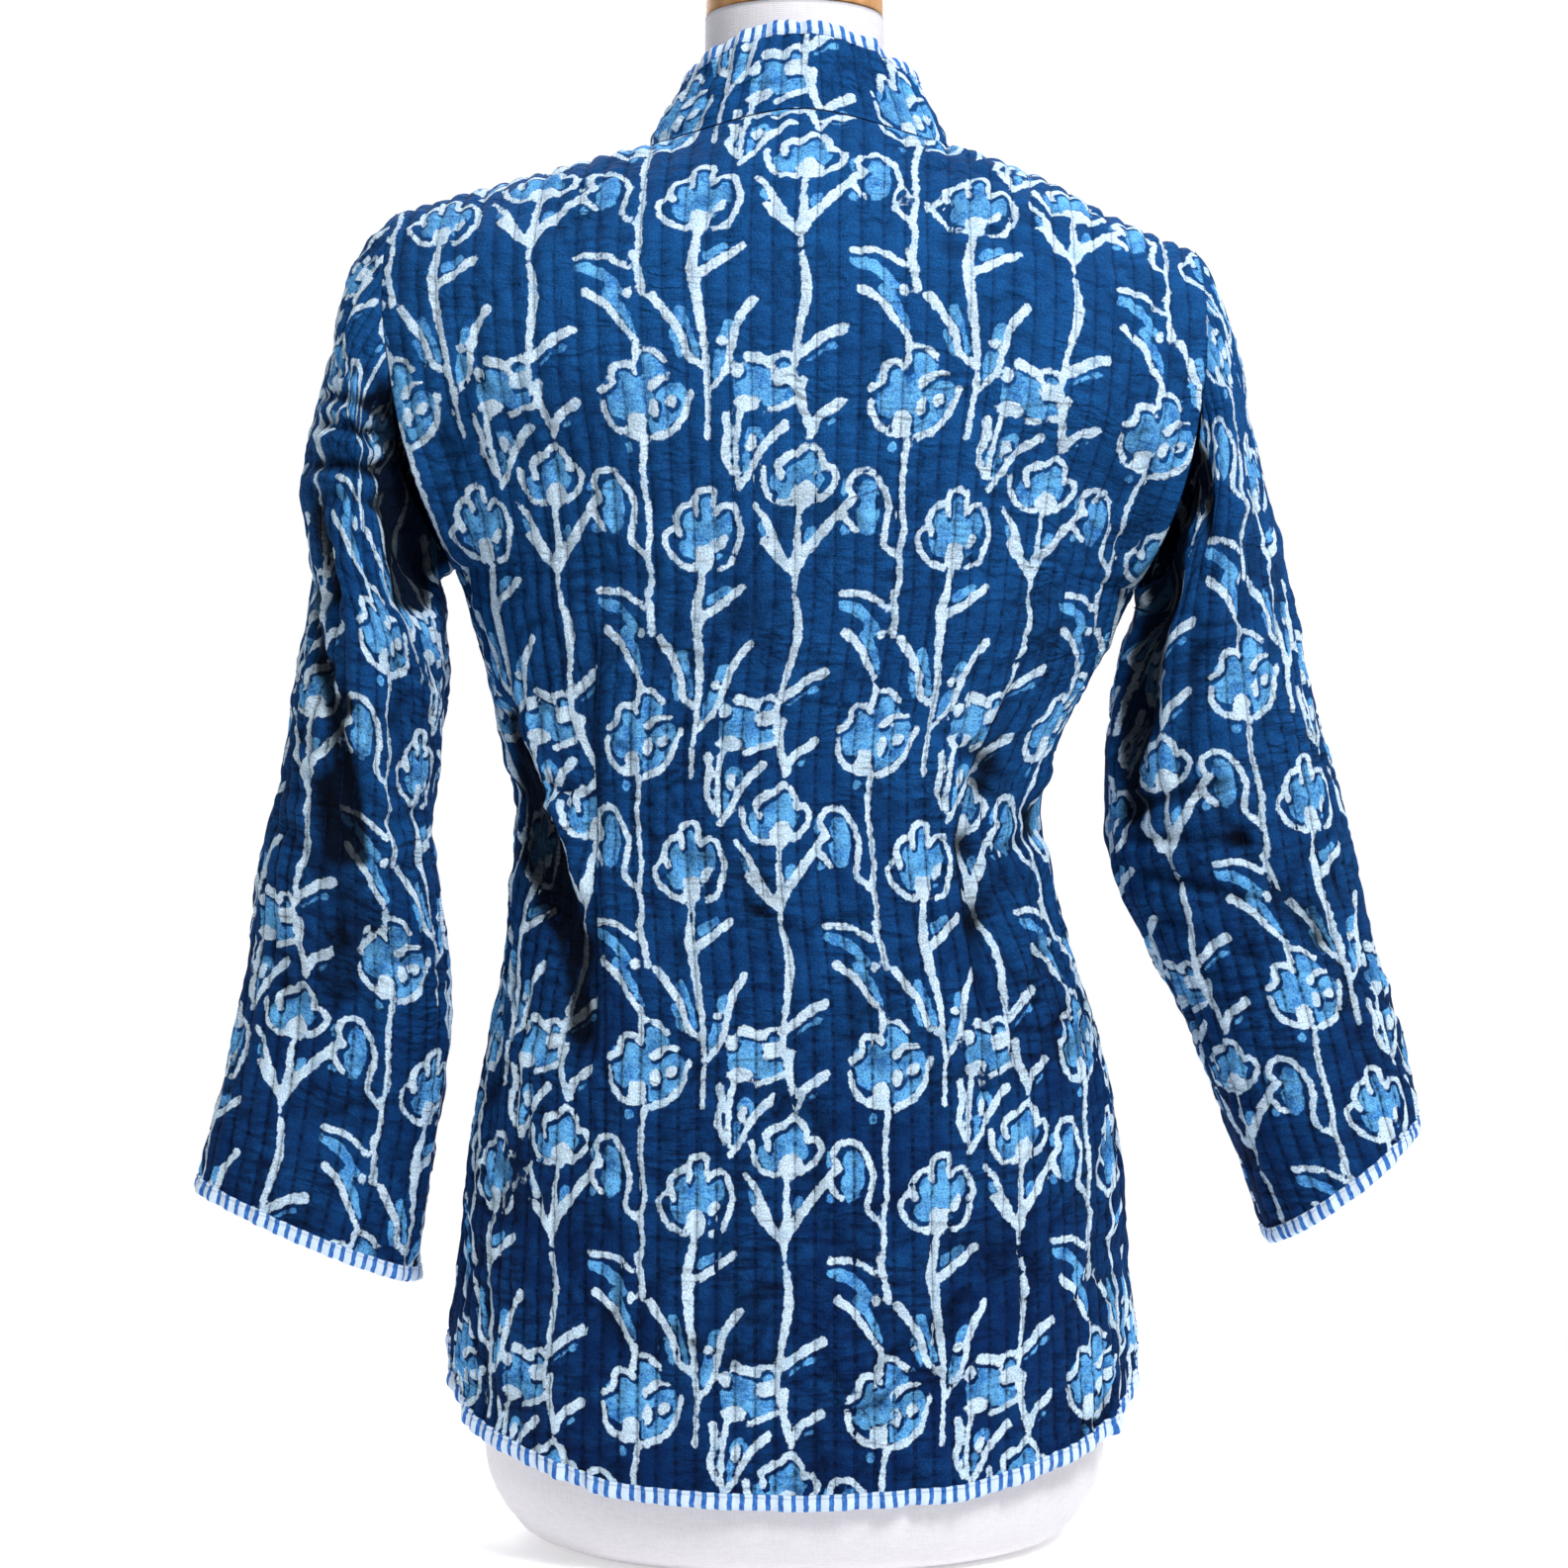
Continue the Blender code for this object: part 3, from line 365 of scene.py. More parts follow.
# %% [markdown]
# ## Folds, puckers and the quilting
#
# A garment on a form doesn't hang like a tube. The waist is nipped by two darts, the cloth drags
# towards them, and the sleeves crumple below the shoulder. Each large fold is a soft line with a
# width and a height, placed where the photo shows it, and given a few relations on the sides
# that it doesn't show. Lines are quick to move about until they lie where the real folds do.

# %% Where the large folds lie
# In millimetres, from a fold's one end to the other; the key says the piece, and -1 is its back
FOLD_COLUMNS = ("x_from", "z_from", "x_to", "z_to", "half_width", "lift")
FOLDS = {
    # The back: the dart valleys, the drag lines towards them and the tucks at the left waist
    ("back", -1): (
        (-136, 396, -130, 362, 6, -9), (-129, 360, -123, 334, 9.5, -16),
        (-123, 334, -116, 312, 9.5, -16), (-115, 310, -106, 288, 7, -11),
        (-106, 288, -103, 250, 5, -8.5), (-129, 396, -114, 356, 5.5, 4.5),
        (-114, 354, -98.5, 316, 5, 6.2), (-96, 430, -94, 245, 6, -3),
        (-88, 330, -86, 240, 6, 2.4), (-80, 310, -74, 190, 8, 2.6),
        (-102, 255, -100, 180, 7, -2.2), (103, 405, 80, 337, 6, -3),
        (80, 337, 88, 269, 6, -3), (120, 352, 70, 392, 6, -3),
        (118, 346, 82, 368, 4, -2.4), (118, 342, 94, 334, 4, -2.8),
        (118, 348, 85, 300, 6, -3), (122, 372, 108, 356, 5, 2.4),
        (112, 338, 104, 262, 6, 2.2), (70, 300, 66, 180, 7, 1.6),
        (0, 372, 62, 376, 5, -1), (-60, 362, -10, 352, 5, -1),
        (-40, 388, 30, 398, 5, -0.8), (-100, 470, -60, 452, 6, -1),
        (60, 470, 120, 455, 6, -1), (-150, 640, -80, 628, 7, -1.2),
        (80, 630, 150, 612, 7, -1.2), (-55, 668, 55, 664, 4, -1),
        (-148, 585, -166, 520, 8, -2), (150, 580, 166, 520, 8, -2),
    ),
    # The fronts, which the photo hides
    ("front_left", 1): (
        (-125, 380, -85, 320, 8, -5), (-110, 420, -75, 360, 6, -2.2),
        (-130, 300, -100, 250, 7, 2.2), (-150, 590, -110, 560, 7, -1.8),
    ),
    ("front_right", 1): (
        (118, 360, 75, 310, 8, -5), (112, 405, 70, 370, 6, -2.2),
        (128, 290, 98, 240, 7, 2.2), (150, 570, 112, 545, 7, -1.8),
    ),
    # The left sleeve: the hollow by the armpit, crumples that run into it, a long overhanging fold
    ("sleeve_left", -1): (
        (-234, 462, -226, 420, 5, -4.5), (-226, 420, -206, 330, 5, -5.5),
        (-220, 455, -196, 335, 7.5, 3.5), (-193, 545, -179, 512, 8.5, -8),
        (-180, 515, -170.5, 474, 12, -13), (-185, 500, -181, 455, 9, -7),
        (-226, 552, -188, 541, 4, -3.4), (-225, 537, -187.5, 527, 4.2, -4),
        (-230, 518, -189, 514, 4.5, -4.4), (-228, 504, -195, 497, 4, -2.8),
        (-218, 562, -196, 556, 4, -2.4), (-222, 529, -196, 520, 4.5, 2.6),
        (-229, 494, -219, 456, 5.5, -5), (-219, 456, -212, 402, 5.5, -5.5),
        (-212, 402, -206, 355, 6, -4.5), (-212, 470, -203, 402, 6, 3),
        (-224, 362, -218, 332, 11, -5.8), (-186, 430, -190, 360, 6, -2.6),
        (-178, 352, -220, 338, 5.5, -3), (-176, 330, -214, 312, 5, -2.4),
        (-246, 345, -215, 300, 6, -2.6), (-256, 300, -230, 215, 7, -2.4),
        (-200, 300, -208, 200, 7, -2.4), (-228, 270, -235, 190, 7, 2.2),
    ),
    ("sleeve_left", 1): (
        (-228, 545, -188, 520, 7, -4), (-230, 505, -185, 480, 6, -3.6),
        (-220, 460, -190, 400, 7, -3), (-190, 370, -240, 330, 7, -4),
        (-185, 340, -230, 300, 6, -3), (-245, 290, -240, 200, 8, 2.2),
    ),
    # The right sleeve: a deeper hollow, the ridge beside it and the bend of the elbow
    ("sleeve_right", -1): (
        (180, 535, 174, 500, 10, -8), (176, 508, 164, 460, 14, -14),
        (166, 460, 156, 400, 13, -11), (160, 400, 157, 350, 9, -6),
        (202, 548, 208, 495, 6.5, 4.4), (208, 495, 198, 440, 6.5, 4),
        (190, 520, 196, 480, 4.5, -4), (188, 500, 180, 430, 5, 2.6),
        (220, 500, 212, 430, 5.5, -2.6), (190, 430, 184, 370, 5.5, -3),
        (235, 470, 224, 390, 6, -2.4), (158, 352, 206, 366, 5, -3.4),
        (159, 338, 214, 338, 4.5, -3), (163, 322, 216, 310, 5, -3.4),
        (172, 300, 230, 282, 5, -2.4), (210, 345, 250, 290, 7, -2.6),
        (225, 290, 255, 200, 7, 2.4), (250, 310, 280, 230, 7, -2.6),
    ),
    ("sleeve_right", 1): (
        (222, 525, 185, 485, 7, -4), (230, 480, 180, 440, 7, -3.6),
        (165, 350, 235, 340, 6, -4), (170, 318, 230, 300, 6, -3.4),
        (230, 290, 260, 210, 8, 2.2),
    ),
    # The collar creases lengthwise where it bends
    ("collar", -1): (
        (-40, 706, 30, 708, 3, -1.6), (-20, 698, 46, 696, 3, -1.4),
        (-50, 693, -10, 696, 3, -1),
    ),
    ("collar", 1): (
        (-40, 664, -15, 656, 3.5, -1.2), (12, 655, 40, 665, 3.5, -1.2),
    ),
}
# How far in the folds of a kind of piece may go, before the form is in their way
DEEPEST_FOLD = {"back": 0.0062, "front": 0.0050, "sleeve": 0.0190, "collar": 0.0025}
FACE_BLEND = 0.02


def fold_lift(piece, points):
    """How far each point of a piece stands out or in because of the folds on it."""
    lift = np.zeros(points.shape[:-1])
    for face in (-1, 1):
        on_face = soft_step(face * points[..., 1], 0.0, FACE_BLEND)
        for row in FOLDS.get((piece, face), ()):
            fold = dict(zip(FOLD_COLUMNS, np.array(row) / 1000))
            start = np.array([fold["x_from"], fold["z_from"]])
            way = np.array([fold["x_to"], fold["z_to"]]) - start
            flat = points[..., [0, 2]] - start
            share = np.clip(flat @ way / (way @ way), 0, 1)
            away = np.linalg.norm(flat - share[..., None] * way, axis=-1)
            lift += fold["lift"] * np.exp(-((away / fold["half_width"]) ** 2)) * on_face
    deepest = DEEPEST_FOLD[piece.split("_")[0]]
    return np.where(lift < 0, deepest * np.tanh(lift / deepest), lift)


print("folds:", sum(len(rows) for rows in FOLDS.values()))

# %% [markdown]
# ## The quilting
#
# Wadding swells between two rows of stitches, and the thread draws each row up, so a channel is a
# chain of small cushions with creases across it. Soft noise gives that. A crease is thinner than the
# mesh can show, so the same rule also gives painted shade for the cotton's material, dark in the creases
# and along the rows.

# %% The raised channels between the rows
PITCH = 0.0095
STEPS_PER_CHANNEL = 6
PUFF = 0.0012
SEAM_SINK = 0.0004
ROW_DIP = 0.0004
GATHER = 0.00045
DRAG = 0.0011
LONG_CREASE = 0.0015
SHORT_CREASE = 0.0010
CREASE_WIDTH = 0.22


def crease(u, v, seed):
    """Thin wandering valleys: 1 in a valley and 0 away from it."""
    strength = soft_step(soft_noise(u * 0.6 + 3.1, v * 0.35, seed + 20), -0.5, 0.6)
    return np.exp(-((soft_noise(u, v, seed) / CREASE_WIDTH) ** 2)) * strength


def quilting(u, v, seed):
    """Height of the wadded cloth over its plain surface, and the painted shade of its creases and rows.
    """
    channel = np.floor(u / PITCH)
    share = u / PITCH - channel
    hump = 1 - np.abs(2 * share - 1) ** 2.2
    swell = 0.88 + 0.52 * soft_noise(channel * 3.7 + 0.5, v / 0.0085, seed)
    row = np.round(u / PITCH)
    near_row = 1 - np.abs(share - np.round(share)) * 2
    tight = soft_noise(row * 5.3 + 0.5, v / 0.060, seed + 3)
    dip = ROW_DIP * near_row * (1 + tight)
    gather = GATHER * soft_noise(u / 0.0105 + v / 0.060, v / 0.0052, seed + 1)
    bend = 0.9 * soft_noise(u / 0.030, v / 0.040, seed + 5)
    bend = bend + 0.8 * soft_noise(u / 0.012, v / 0.030, seed + 8)
    long_creases = crease(u / 0.026, v / 0.0125 + bend, seed + 4)
    short_creases = crease(u / 0.013 + 7.3, v / 0.0080 + bend, seed + 6)
    drag = DRAG * soft_noise(u / 0.050, v / 0.020 + bend, seed + 7)
    height = PUFF * hump * swell + gather + drag - dip
    height -= LONG_CREASE * long_creases + SHORT_CREASE * short_creases
    # Painted shade for the material: dark in the creases and where the thread pinches each row
    pinch = near_row**6 * (0.5 + 0.5 * tight)
    shade = 0.62 * long_creases**2 + 0.42 * short_creases**2 + 0.40 * pinch
    return height, shade


print("channel, mm:", PITCH * 1000, " a crease is deep by, mm:", LONG_CREASE * 1000)

# %% [markdown]
# ## Laying the cloth out
#
# Every point of a piece knows two places: where it is in the room, and where it was in the flat
# cloth. The second pair, u across the grain and v along it, carries the rows, the print and the
# weave. Columns of points run along the grain, six to a channel. At a slanted side seam they run out,
# and at a dart the cloth between its two legs is swallowed, so the columns there fall together. That
# is why the print is cut at a dart here exactly as it is on the real back.

# %% Cut a body panel along its grain
SPREAD_COLUMNS = ("height", "spread", "stretch")
SPREAD = (
    (0.050, 1.040, 1.020), (0.250, 1.060, 1.010),
    (0.350, 1.090, 1.000), (0.420, 1.050, 0.990),
    (0.500, 1.000, 0.980), (0.557, 0.950, 0.970),
    (0.650, 0.940, 0.970),
)
DART_COLUMNS = ("height", "x", "intake")
DARTS = {
    -1: (
        (0.230, 0.0940, 0.000), (0.262, 0.0935, 0.005),
        (0.300, 0.0900, 0.014), (0.350, 0.0868, 0.021),
        (0.400, 0.0895, 0.012), (0.435, 0.0928, 0.003),
        (0.450, 0.0935, 0.000),
    ),
    1: (
        (0.230, 0.0890, 0.000), (0.262, 0.0875, 0.005),
        (0.300, 0.0862, 0.014), (0.350, 0.0872, 0.021),
        (0.385, 0.0985, 0.013), (0.410, 0.1065, 0.004),
        (0.425, 0.1090, 0.000),
    ),
}
NO_DART = ((0.0, 0.09, 0.0), (1.0, 0.09, 0.0))
ROWS_BELOW_ARMPIT = 208
ROWS_TO_MIDDLE = 42
ROWS_TO_SHOULDER = 72
LINE_POINTS = 70


def panel_rows():
    """The up values of a panel's rows, about 2 mm apart."""
    low = np.linspace(0, 1, ROWS_BELOW_ARMPIT, endpoint=False)
    middle = np.linspace(1, 2, ROWS_TO_MIDDLE, endpoint=False)
    return np.concatenate([low, middle, np.linspace(2, 3, ROWS_TO_SHOULDER)])


def half_panel(shape, face, side, darts):
    """One half of the body: its points in the room, u, v, and the dart's two legs in u."""
    up = panel_rows()
    middle = body_point(shape, face, np.full_like(up, 0.55), up)
    height = np.minimum(middle[:, 2], ARMHOLE_MIDDLE)
    half_width = read_table(shape["body"], BODY_COLUMNS, "half_width", height)
    leg_x = read_table(darts, DART_COLUMNS, "x", height)
    intake = np.maximum(read_table(darts, DART_COLUMNS, "intake", height), 0)
    leg = (leg_x - shape["centre"]) / (half_width - shape["centre"])
    even = np.linspace(0, 1, LINE_POINTS)
    across = np.concatenate([even * leg[:, None], leg[:, None] + even * (1 - leg[:, None])], axis=1)
    points = body_point(shape, face, across, up[:, None])

    start_of_crown = ROWS_BELOW_ARMPIT + ROWS_TO_MIDDLE
    steps = np.linalg.norm(np.diff(points, axis=1), axis=2)
    u = np.concatenate([np.zeros((len(up), 1)), np.cumsum(steps, axis=1)], axis=1)
    u *= read_table(SPREAD, SPREAD_COLUMNS, "spread", height)[:, None]
    u[:, LINE_POINTS:] += intake[:, None]
    u[start_of_crown:] = u[start_of_crown]
    climb = np.linalg.norm(np.diff(points[..., 1:], axis=0), axis=2)
    climb *= read_table(SPREAD, SPREAD_COLUMNS, "stretch", height)[1:, None]
    v = np.concatenate([np.zeros((1, u.shape[1])), np.cumsum(climb, axis=0)], axis=0)
    v -= v[start_of_crown]
    legs = np.stack([u[:, LINE_POINTS - 1], u[:, LINE_POINTS]], axis=1)
    if side < 0:
        return (points * (-1, 1, 1))[:, ::-1], -u[:, ::-1], v[:, ::-1], -legs[:, ::-1]
    return points, u, v, legs


print("rows of points in a panel:", len(panel_rows()))

# %% [markdown]
# ## Columns along the grain
#
# The rows of quilting run along the grain, so each line across the body is read again at even steps
# of u, which turns the lines into columns of points. Quilting and folds then lift each point off the
# plain surface, and they fade out at a seam, which holds the cloth flat.

# %% Turn lines of points into columns along the grain
SIDE_EASE = 0.0030
SIDE_FOLDS = 0.008
DART_OPEN = 0.004
# Painted shade: a dark line down the crease of each dart, dark colour in the deep folds, and the heights
# over which the creases' painted shade falls to half
DART_SHADE_WIDTH = 0.0012
DART_SHADE = 0.5
FOLD_SHADE = 0.97
FOLD_SHADE_DEPTHS = (0.0012, 0.0048)
CALM_HEIGHTS = (0.25, 0.66)


def within_seams(name, points):
    """Keeps a body panel on its own side of the side seams and of the centre front."""
    if name == "back":
        points[..., 1] = np.minimum(points[..., 1], -SEAM_GAP / 2)
    if name.startswith("front"):
        side = -1 if name.endswith("left") else 1
        points[..., 1] = np.maximum(points[..., 1], SEAM_GAP / 2)
        points[..., 0] = side * np.maximum(side * points[..., 0], FRONT_EDGE)
    return points


def lay_columns(name, points, normals, u, v, cuts, bound_edges, seed, end_rows):
    """Columns of points along the grain, quilted and folded; cuts are pairs of legs in u by row."""
    step = PITCH / STEPS_PER_CHANNEL
    first = math.floor(u.min() / step)
    last = math.ceil(u.max() / step)
    columns = np.arange(first, last + 1) * step
    rows = len(u)
    place = np.empty((rows, len(columns), 3))
    normal = np.empty_like(place)
    along = np.empty((rows, len(columns)))
    for row in range(rows):
        for axis in range(3):
            place[row, :, axis] = np.interp(columns, u[row], points[row, :, axis])
            normal[row, :, axis] = np.interp(columns, u[row], normals[row, :, axis])
        along[row] = np.interp(columns, u[row], v[row])
    low, high = u[:, :1], u[:, -1:]
    inside = np.clip(columns, low, high)
    u_left, u_right = inside.copy(), inside.copy()
    near = np.full(inside.shape, 1.0)
    if "low" not in bound_edges:
        near = np.minimum(near, inside - low)
    if "high" not in bound_edges:
        near = np.minimum(near, high - inside)
    ease = 1 - np.exp(-((near / SIDE_EASE) ** 2))
    dart_line = np.zeros_like(ease)
    for legs in cuts:
        start, end = legs[:, :1], legs[:, 1:]
        swallowed = (inside >= start) & (inside <= end) & (end - start > 1e-5)
        u_left = np.where(swallowed, end, u_left)
        u_right = np.where(swallowed, start, u_right)
        away = np.maximum(np.maximum(start - inside, inside - end), 0)
        depth = soft_step(end - start, 0.0, DART_OPEN)
        dart_line = np.maximum(dart_line, depth * np.exp(-((away / DART_SHADE_WIDTH) ** 2)))
        ease = np.minimum(ease, 1 - depth * np.exp(-((away / SIDE_EASE) ** 2)))
    from_end = np.minimum(*[np.abs(along - along[row]) if row in end_rows else 1.0 for row in (0, -1)])
    ease = np.minimum(ease, 1 - np.exp(-((from_end / SIDE_EASE) ** 2)))
    normal = unit(normal)
    folds = fold_lift(name, place) * soft_step(near, 0.0, SIDE_FOLDS)
    relief, shade = quilting(inside, along, seed)
    relief = relief * ease - SEAM_SINK * (1 - ease)
    # Painted shade for the material's colour: the creases and rows, less towards the shoulders, darker in
    # deep folds and down each dart
    in_fold = FOLD_SHADE * soft_step(-folds, *FOLD_SHADE_DEPTHS)
    calm = 1 - 0.5 * soft_step(place[..., 2], *CALM_HEIGHTS)
    shade = 1 - (1 - np.clip(shade, 0, 1) * ease * calm) * (1 - DART_SHADE * dart_line) * (1 - in_fold)
    return dict(
        name=name, normal=normal, columns=columns, low=low, high=high, cuts=cuts, v=along, shade=shade,
        u_left=u_left, u_right=u_right,
        outer=within_seams(name, place + normal * (folds + relief)[..., None]),
        inner=within_seams(name, place + normal * (folds - WALL)[..., None]),
    )


print("steps to a channel:", STEPS_PER_CHANNEL)


# %% Lay out the back and the fronts
def cut_back():
    """The back in one piece, with a dart on each side."""
    left = half_panel(JACKET, -1, -1, DARTS[-1])
    right = half_panel(JACKET, -1, 1, DARTS[1])
    points, u, v = (np.concatenate([l[:, :-1], r], axis=1) for l, r in zip(left[:3], right[:3]))
    points = posture(points)
    normals = grid_normals(points, points - MIDDLE_OF_CHEST)
    return lay_columns("back", points, normals, u, v, (left[3], right[3]), (), 11, (-1,))


def cut_front(side):
    """One front, from its bound centre edge to the side seam."""
    name = "front_left" if side < 0 else "front_right"
    points, u, v, _ = half_panel(JACKET_FRONT, 1, side, NO_DART)
    points = posture(points)
    normals = grid_normals(points, points - MIDDLE_OF_CHEST)
    bound = ("high",) if side < 0 else ("low",)
    return lay_columns(name, points, normals, u, v, (), bound, 23 + side, (-1,))


cloth = {"back": cut_back(), "front_left": cut_front(-1), "front_right": cut_front(1)}
for piece in cloth.values():
    print(piece["name"], "points:", piece["outer"].shape[:2])

# %% [markdown]
# ## The sleeves
#
# A sleeve is a tube that starts at the armhole and ends at the cuff. Its rings are spread evenly round
# the arm and joined by a smooth curve along it. The grain runs down the outside of the arm, and the
# tube is closed by one seam underneath, where the rows of quilting run out as the sleeve narrows.

# %% Cut a sleeve
SLEEVE_ROWS = 236
RING_POINTS = 240
SLEEVE_LEVEL_ROW = 0.5


def even_ring(line, count):
    """count points at equal steps along a closed line; the last one repeats the first."""
    length = length_along(line)
    at = np.linspace(0, length[-1], count)
    return np.stack([np.interp(at, length, line[:, axis]) for axis in range(3)], axis=1)


def between_rings(rings, count):
    """Many rings on a smooth surface through a few."""
    steps = np.linalg.norm(np.diff(rings, axis=0), axis=2).mean(axis=1)
    keys = np.concatenate([[0], np.cumsum(steps)])
    return smooth_through(keys, rings, np.linspace(0, keys[-1], count))


def armhole(side):
    """The armhole's edge, from the armpit up the back and down the front."""
    up = np.linspace(1, 3, RING_POINTS // 2)
    back_edge = body_point(JACKET, -1, np.ones_like(up), up)
    front_edge = body_point(JACKET_FRONT, 1, np.ones_like(up), up)
    loop = np.concatenate([back_edge, front_edge[::-1][1:]])
    return posture(loop * (side, 1, 1))


def cut_sleeve(side):
    """One sleeve; u is 0 down the outside of the arm."""
    name = "sleeve_left" if side < 0 else "sleeve_right"
    rings = [even_ring(armhole(side), RING_POINTS + 1) + (side * SEAM_GAP / 3, 0, 0)]
    angle = np.radians(np.linspace(180, -180, 4 * RING_POINTS))
    for row in np.array(SLEEVES[name]) / 1000:
        section = dict(zip(SLEEVE_COLUMNS, row))
        outer = np.array([section["outer_x"], section["outer_z"]])
        inner = np.array([section["inner_x"], section["inner_z"]])
        flat = (outer + inner) / 2 + np.cos(angle)[:, None] * (outer - inner) / 2
        x = side * (flat[:, 0] + section["bow"] * np.sin(angle) ** 2)
        y = section["middle_y"] - section["half_depth"] * np.sin(angle)
        rings.append(even_ring(np.stack([x, y, flat[:, 1]], axis=1), RING_POINTS + 1))
    points = between_rings(np.array(rings), SLEEVE_ROWS)[::-1]
    normals = grid_normals(points, points - points.mean(axis=1, keepdims=True), closed=True)
    round_arm = np.linalg.norm(np.diff(points, axis=1), axis=2).sum(axis=1)
    share = np.linspace(-0.5, 0.5, RING_POINTS + 1)
    u = share * round_arm[:, None]
    climb = np.linalg.norm(np.diff(points, axis=0), axis=2)
    v = np.concatenate([np.zeros((1, RING_POINTS + 1)), np.cumsum(climb, axis=0)], axis=0)
    v -= v[int(SLEEVE_ROWS * SLEEVE_LEVEL_ROW)]
    if side < 0:
        points, normals, v = points[:, ::-1], normals[:, ::-1], v[:, ::-1]
    return lay_columns(name, points, normals, u, v, (), (), 31 + side, (-1,))


for side in (-1, 1):
    sleeve = cut_sleeve(side)
    cloth[sleeve["name"]] = sleeve
    print(sleeve["name"], "round the top and the cuff, mm:",
          np.ptp(sleeve["columns"]).round(3) * 1000, round(float(sleeve["high"][0, 0]) * 2000))

# %% [markdown]
# ## The collar
#
# The stand collar is one curved band on the neck seam. It leans in towards the neck and is lower at
# the front, so its top edge is a slanted oval.

# %% Cut the collar
COLLAR_ROWS = 23
COLLAR_POINTS = 361


def cut_collar():
    """The collar from the neck seam up to its bound edge."""
    end = np.pi - np.arcsin(FRONT_EDGE / NECK_HALF_WIDTH)
    angle = np.linspace(-end, end, COLLAR_POINTS)
    size = np.abs(np.sin(angle))
    side = np.sign(np.sin(angle))
    at_back = np.cos(angle) >= 0
    neck_line = np.linspace(0, 1, 400)
    base = np.zeros((COLLAR_POINTS, 3))
    base[:, 0] = side * NECK_HALF_WIDTH * size
    back_edge = body_point(JACKET, -1, neck_line, 3.0)
    front_edge = body_point(JACKET_FRONT, 1, neck_line, 3.0)
    for axis in (1, 2):
        at_the_back = np.interp(NECK_HALF_WIDTH * size, back_edge[:, 0], back_edge[:, axis])
        at_the_front = np.interp(NECK_HALF_WIDTH * size, front_edge[:, 0], front_edge[:, axis])
        base[:, axis] = np.where(at_back, at_the_back, at_the_front)
    base[:, 2] += COLLAR_SEAM
    lean = np.abs(np.cos(angle))
    start = FRONT_EDGE / NECK_HALF_WIDTH
    front_x = FRONT_EDGE + (COLLAR_TOP_HALF_WIDTH - FRONT_EDGE) * (size - start) / (1 - start)
    heights = COLLAR_TOP_HEIGHTS
    back_z = heights["side"] + (heights["back"] - heights["side"]) * lean**2
    front_z = heights["side"] + (heights["front"] - heights["side"]) * lean**2
    top = np.zeros_like(base)
    top[:, 0] = side * np.where(at_back, COLLAR_TOP_HALF_WIDTH * size, front_x)
    top[:, 1] = np.where(at_back, -COLLAR_TOP_BACK * lean, COLLAR_TOP_FRONT * lean)
    top[:, 2] = np.where(at_back, back_z, front_z)
    share = np.linspace(0, 1, COLLAR_ROWS)[:, None, None]
    points = posture(base + (top - base) * share)
    normals = grid_normals(points, points * (1, 1, 0))
    u = length_along(points.mean(axis=0))
    u = np.tile(u - u[-1] / 2, (COLLAR_ROWS, 1))
    climb = np.linalg.norm(np.diff(points, axis=0), axis=2)
    v = np.concatenate([np.zeros((1, COLLAR_POINTS)), np.cumsum(climb, axis=0)], axis=0)
    return lay_columns("collar", points, normals, u, v, (), ("low", "high"), 47, (0,))


cloth["collar"] = cut_collar()
print("collar height at the back, mm:", round(float(cloth["collar"]["v"].max()) * 1000, 1))
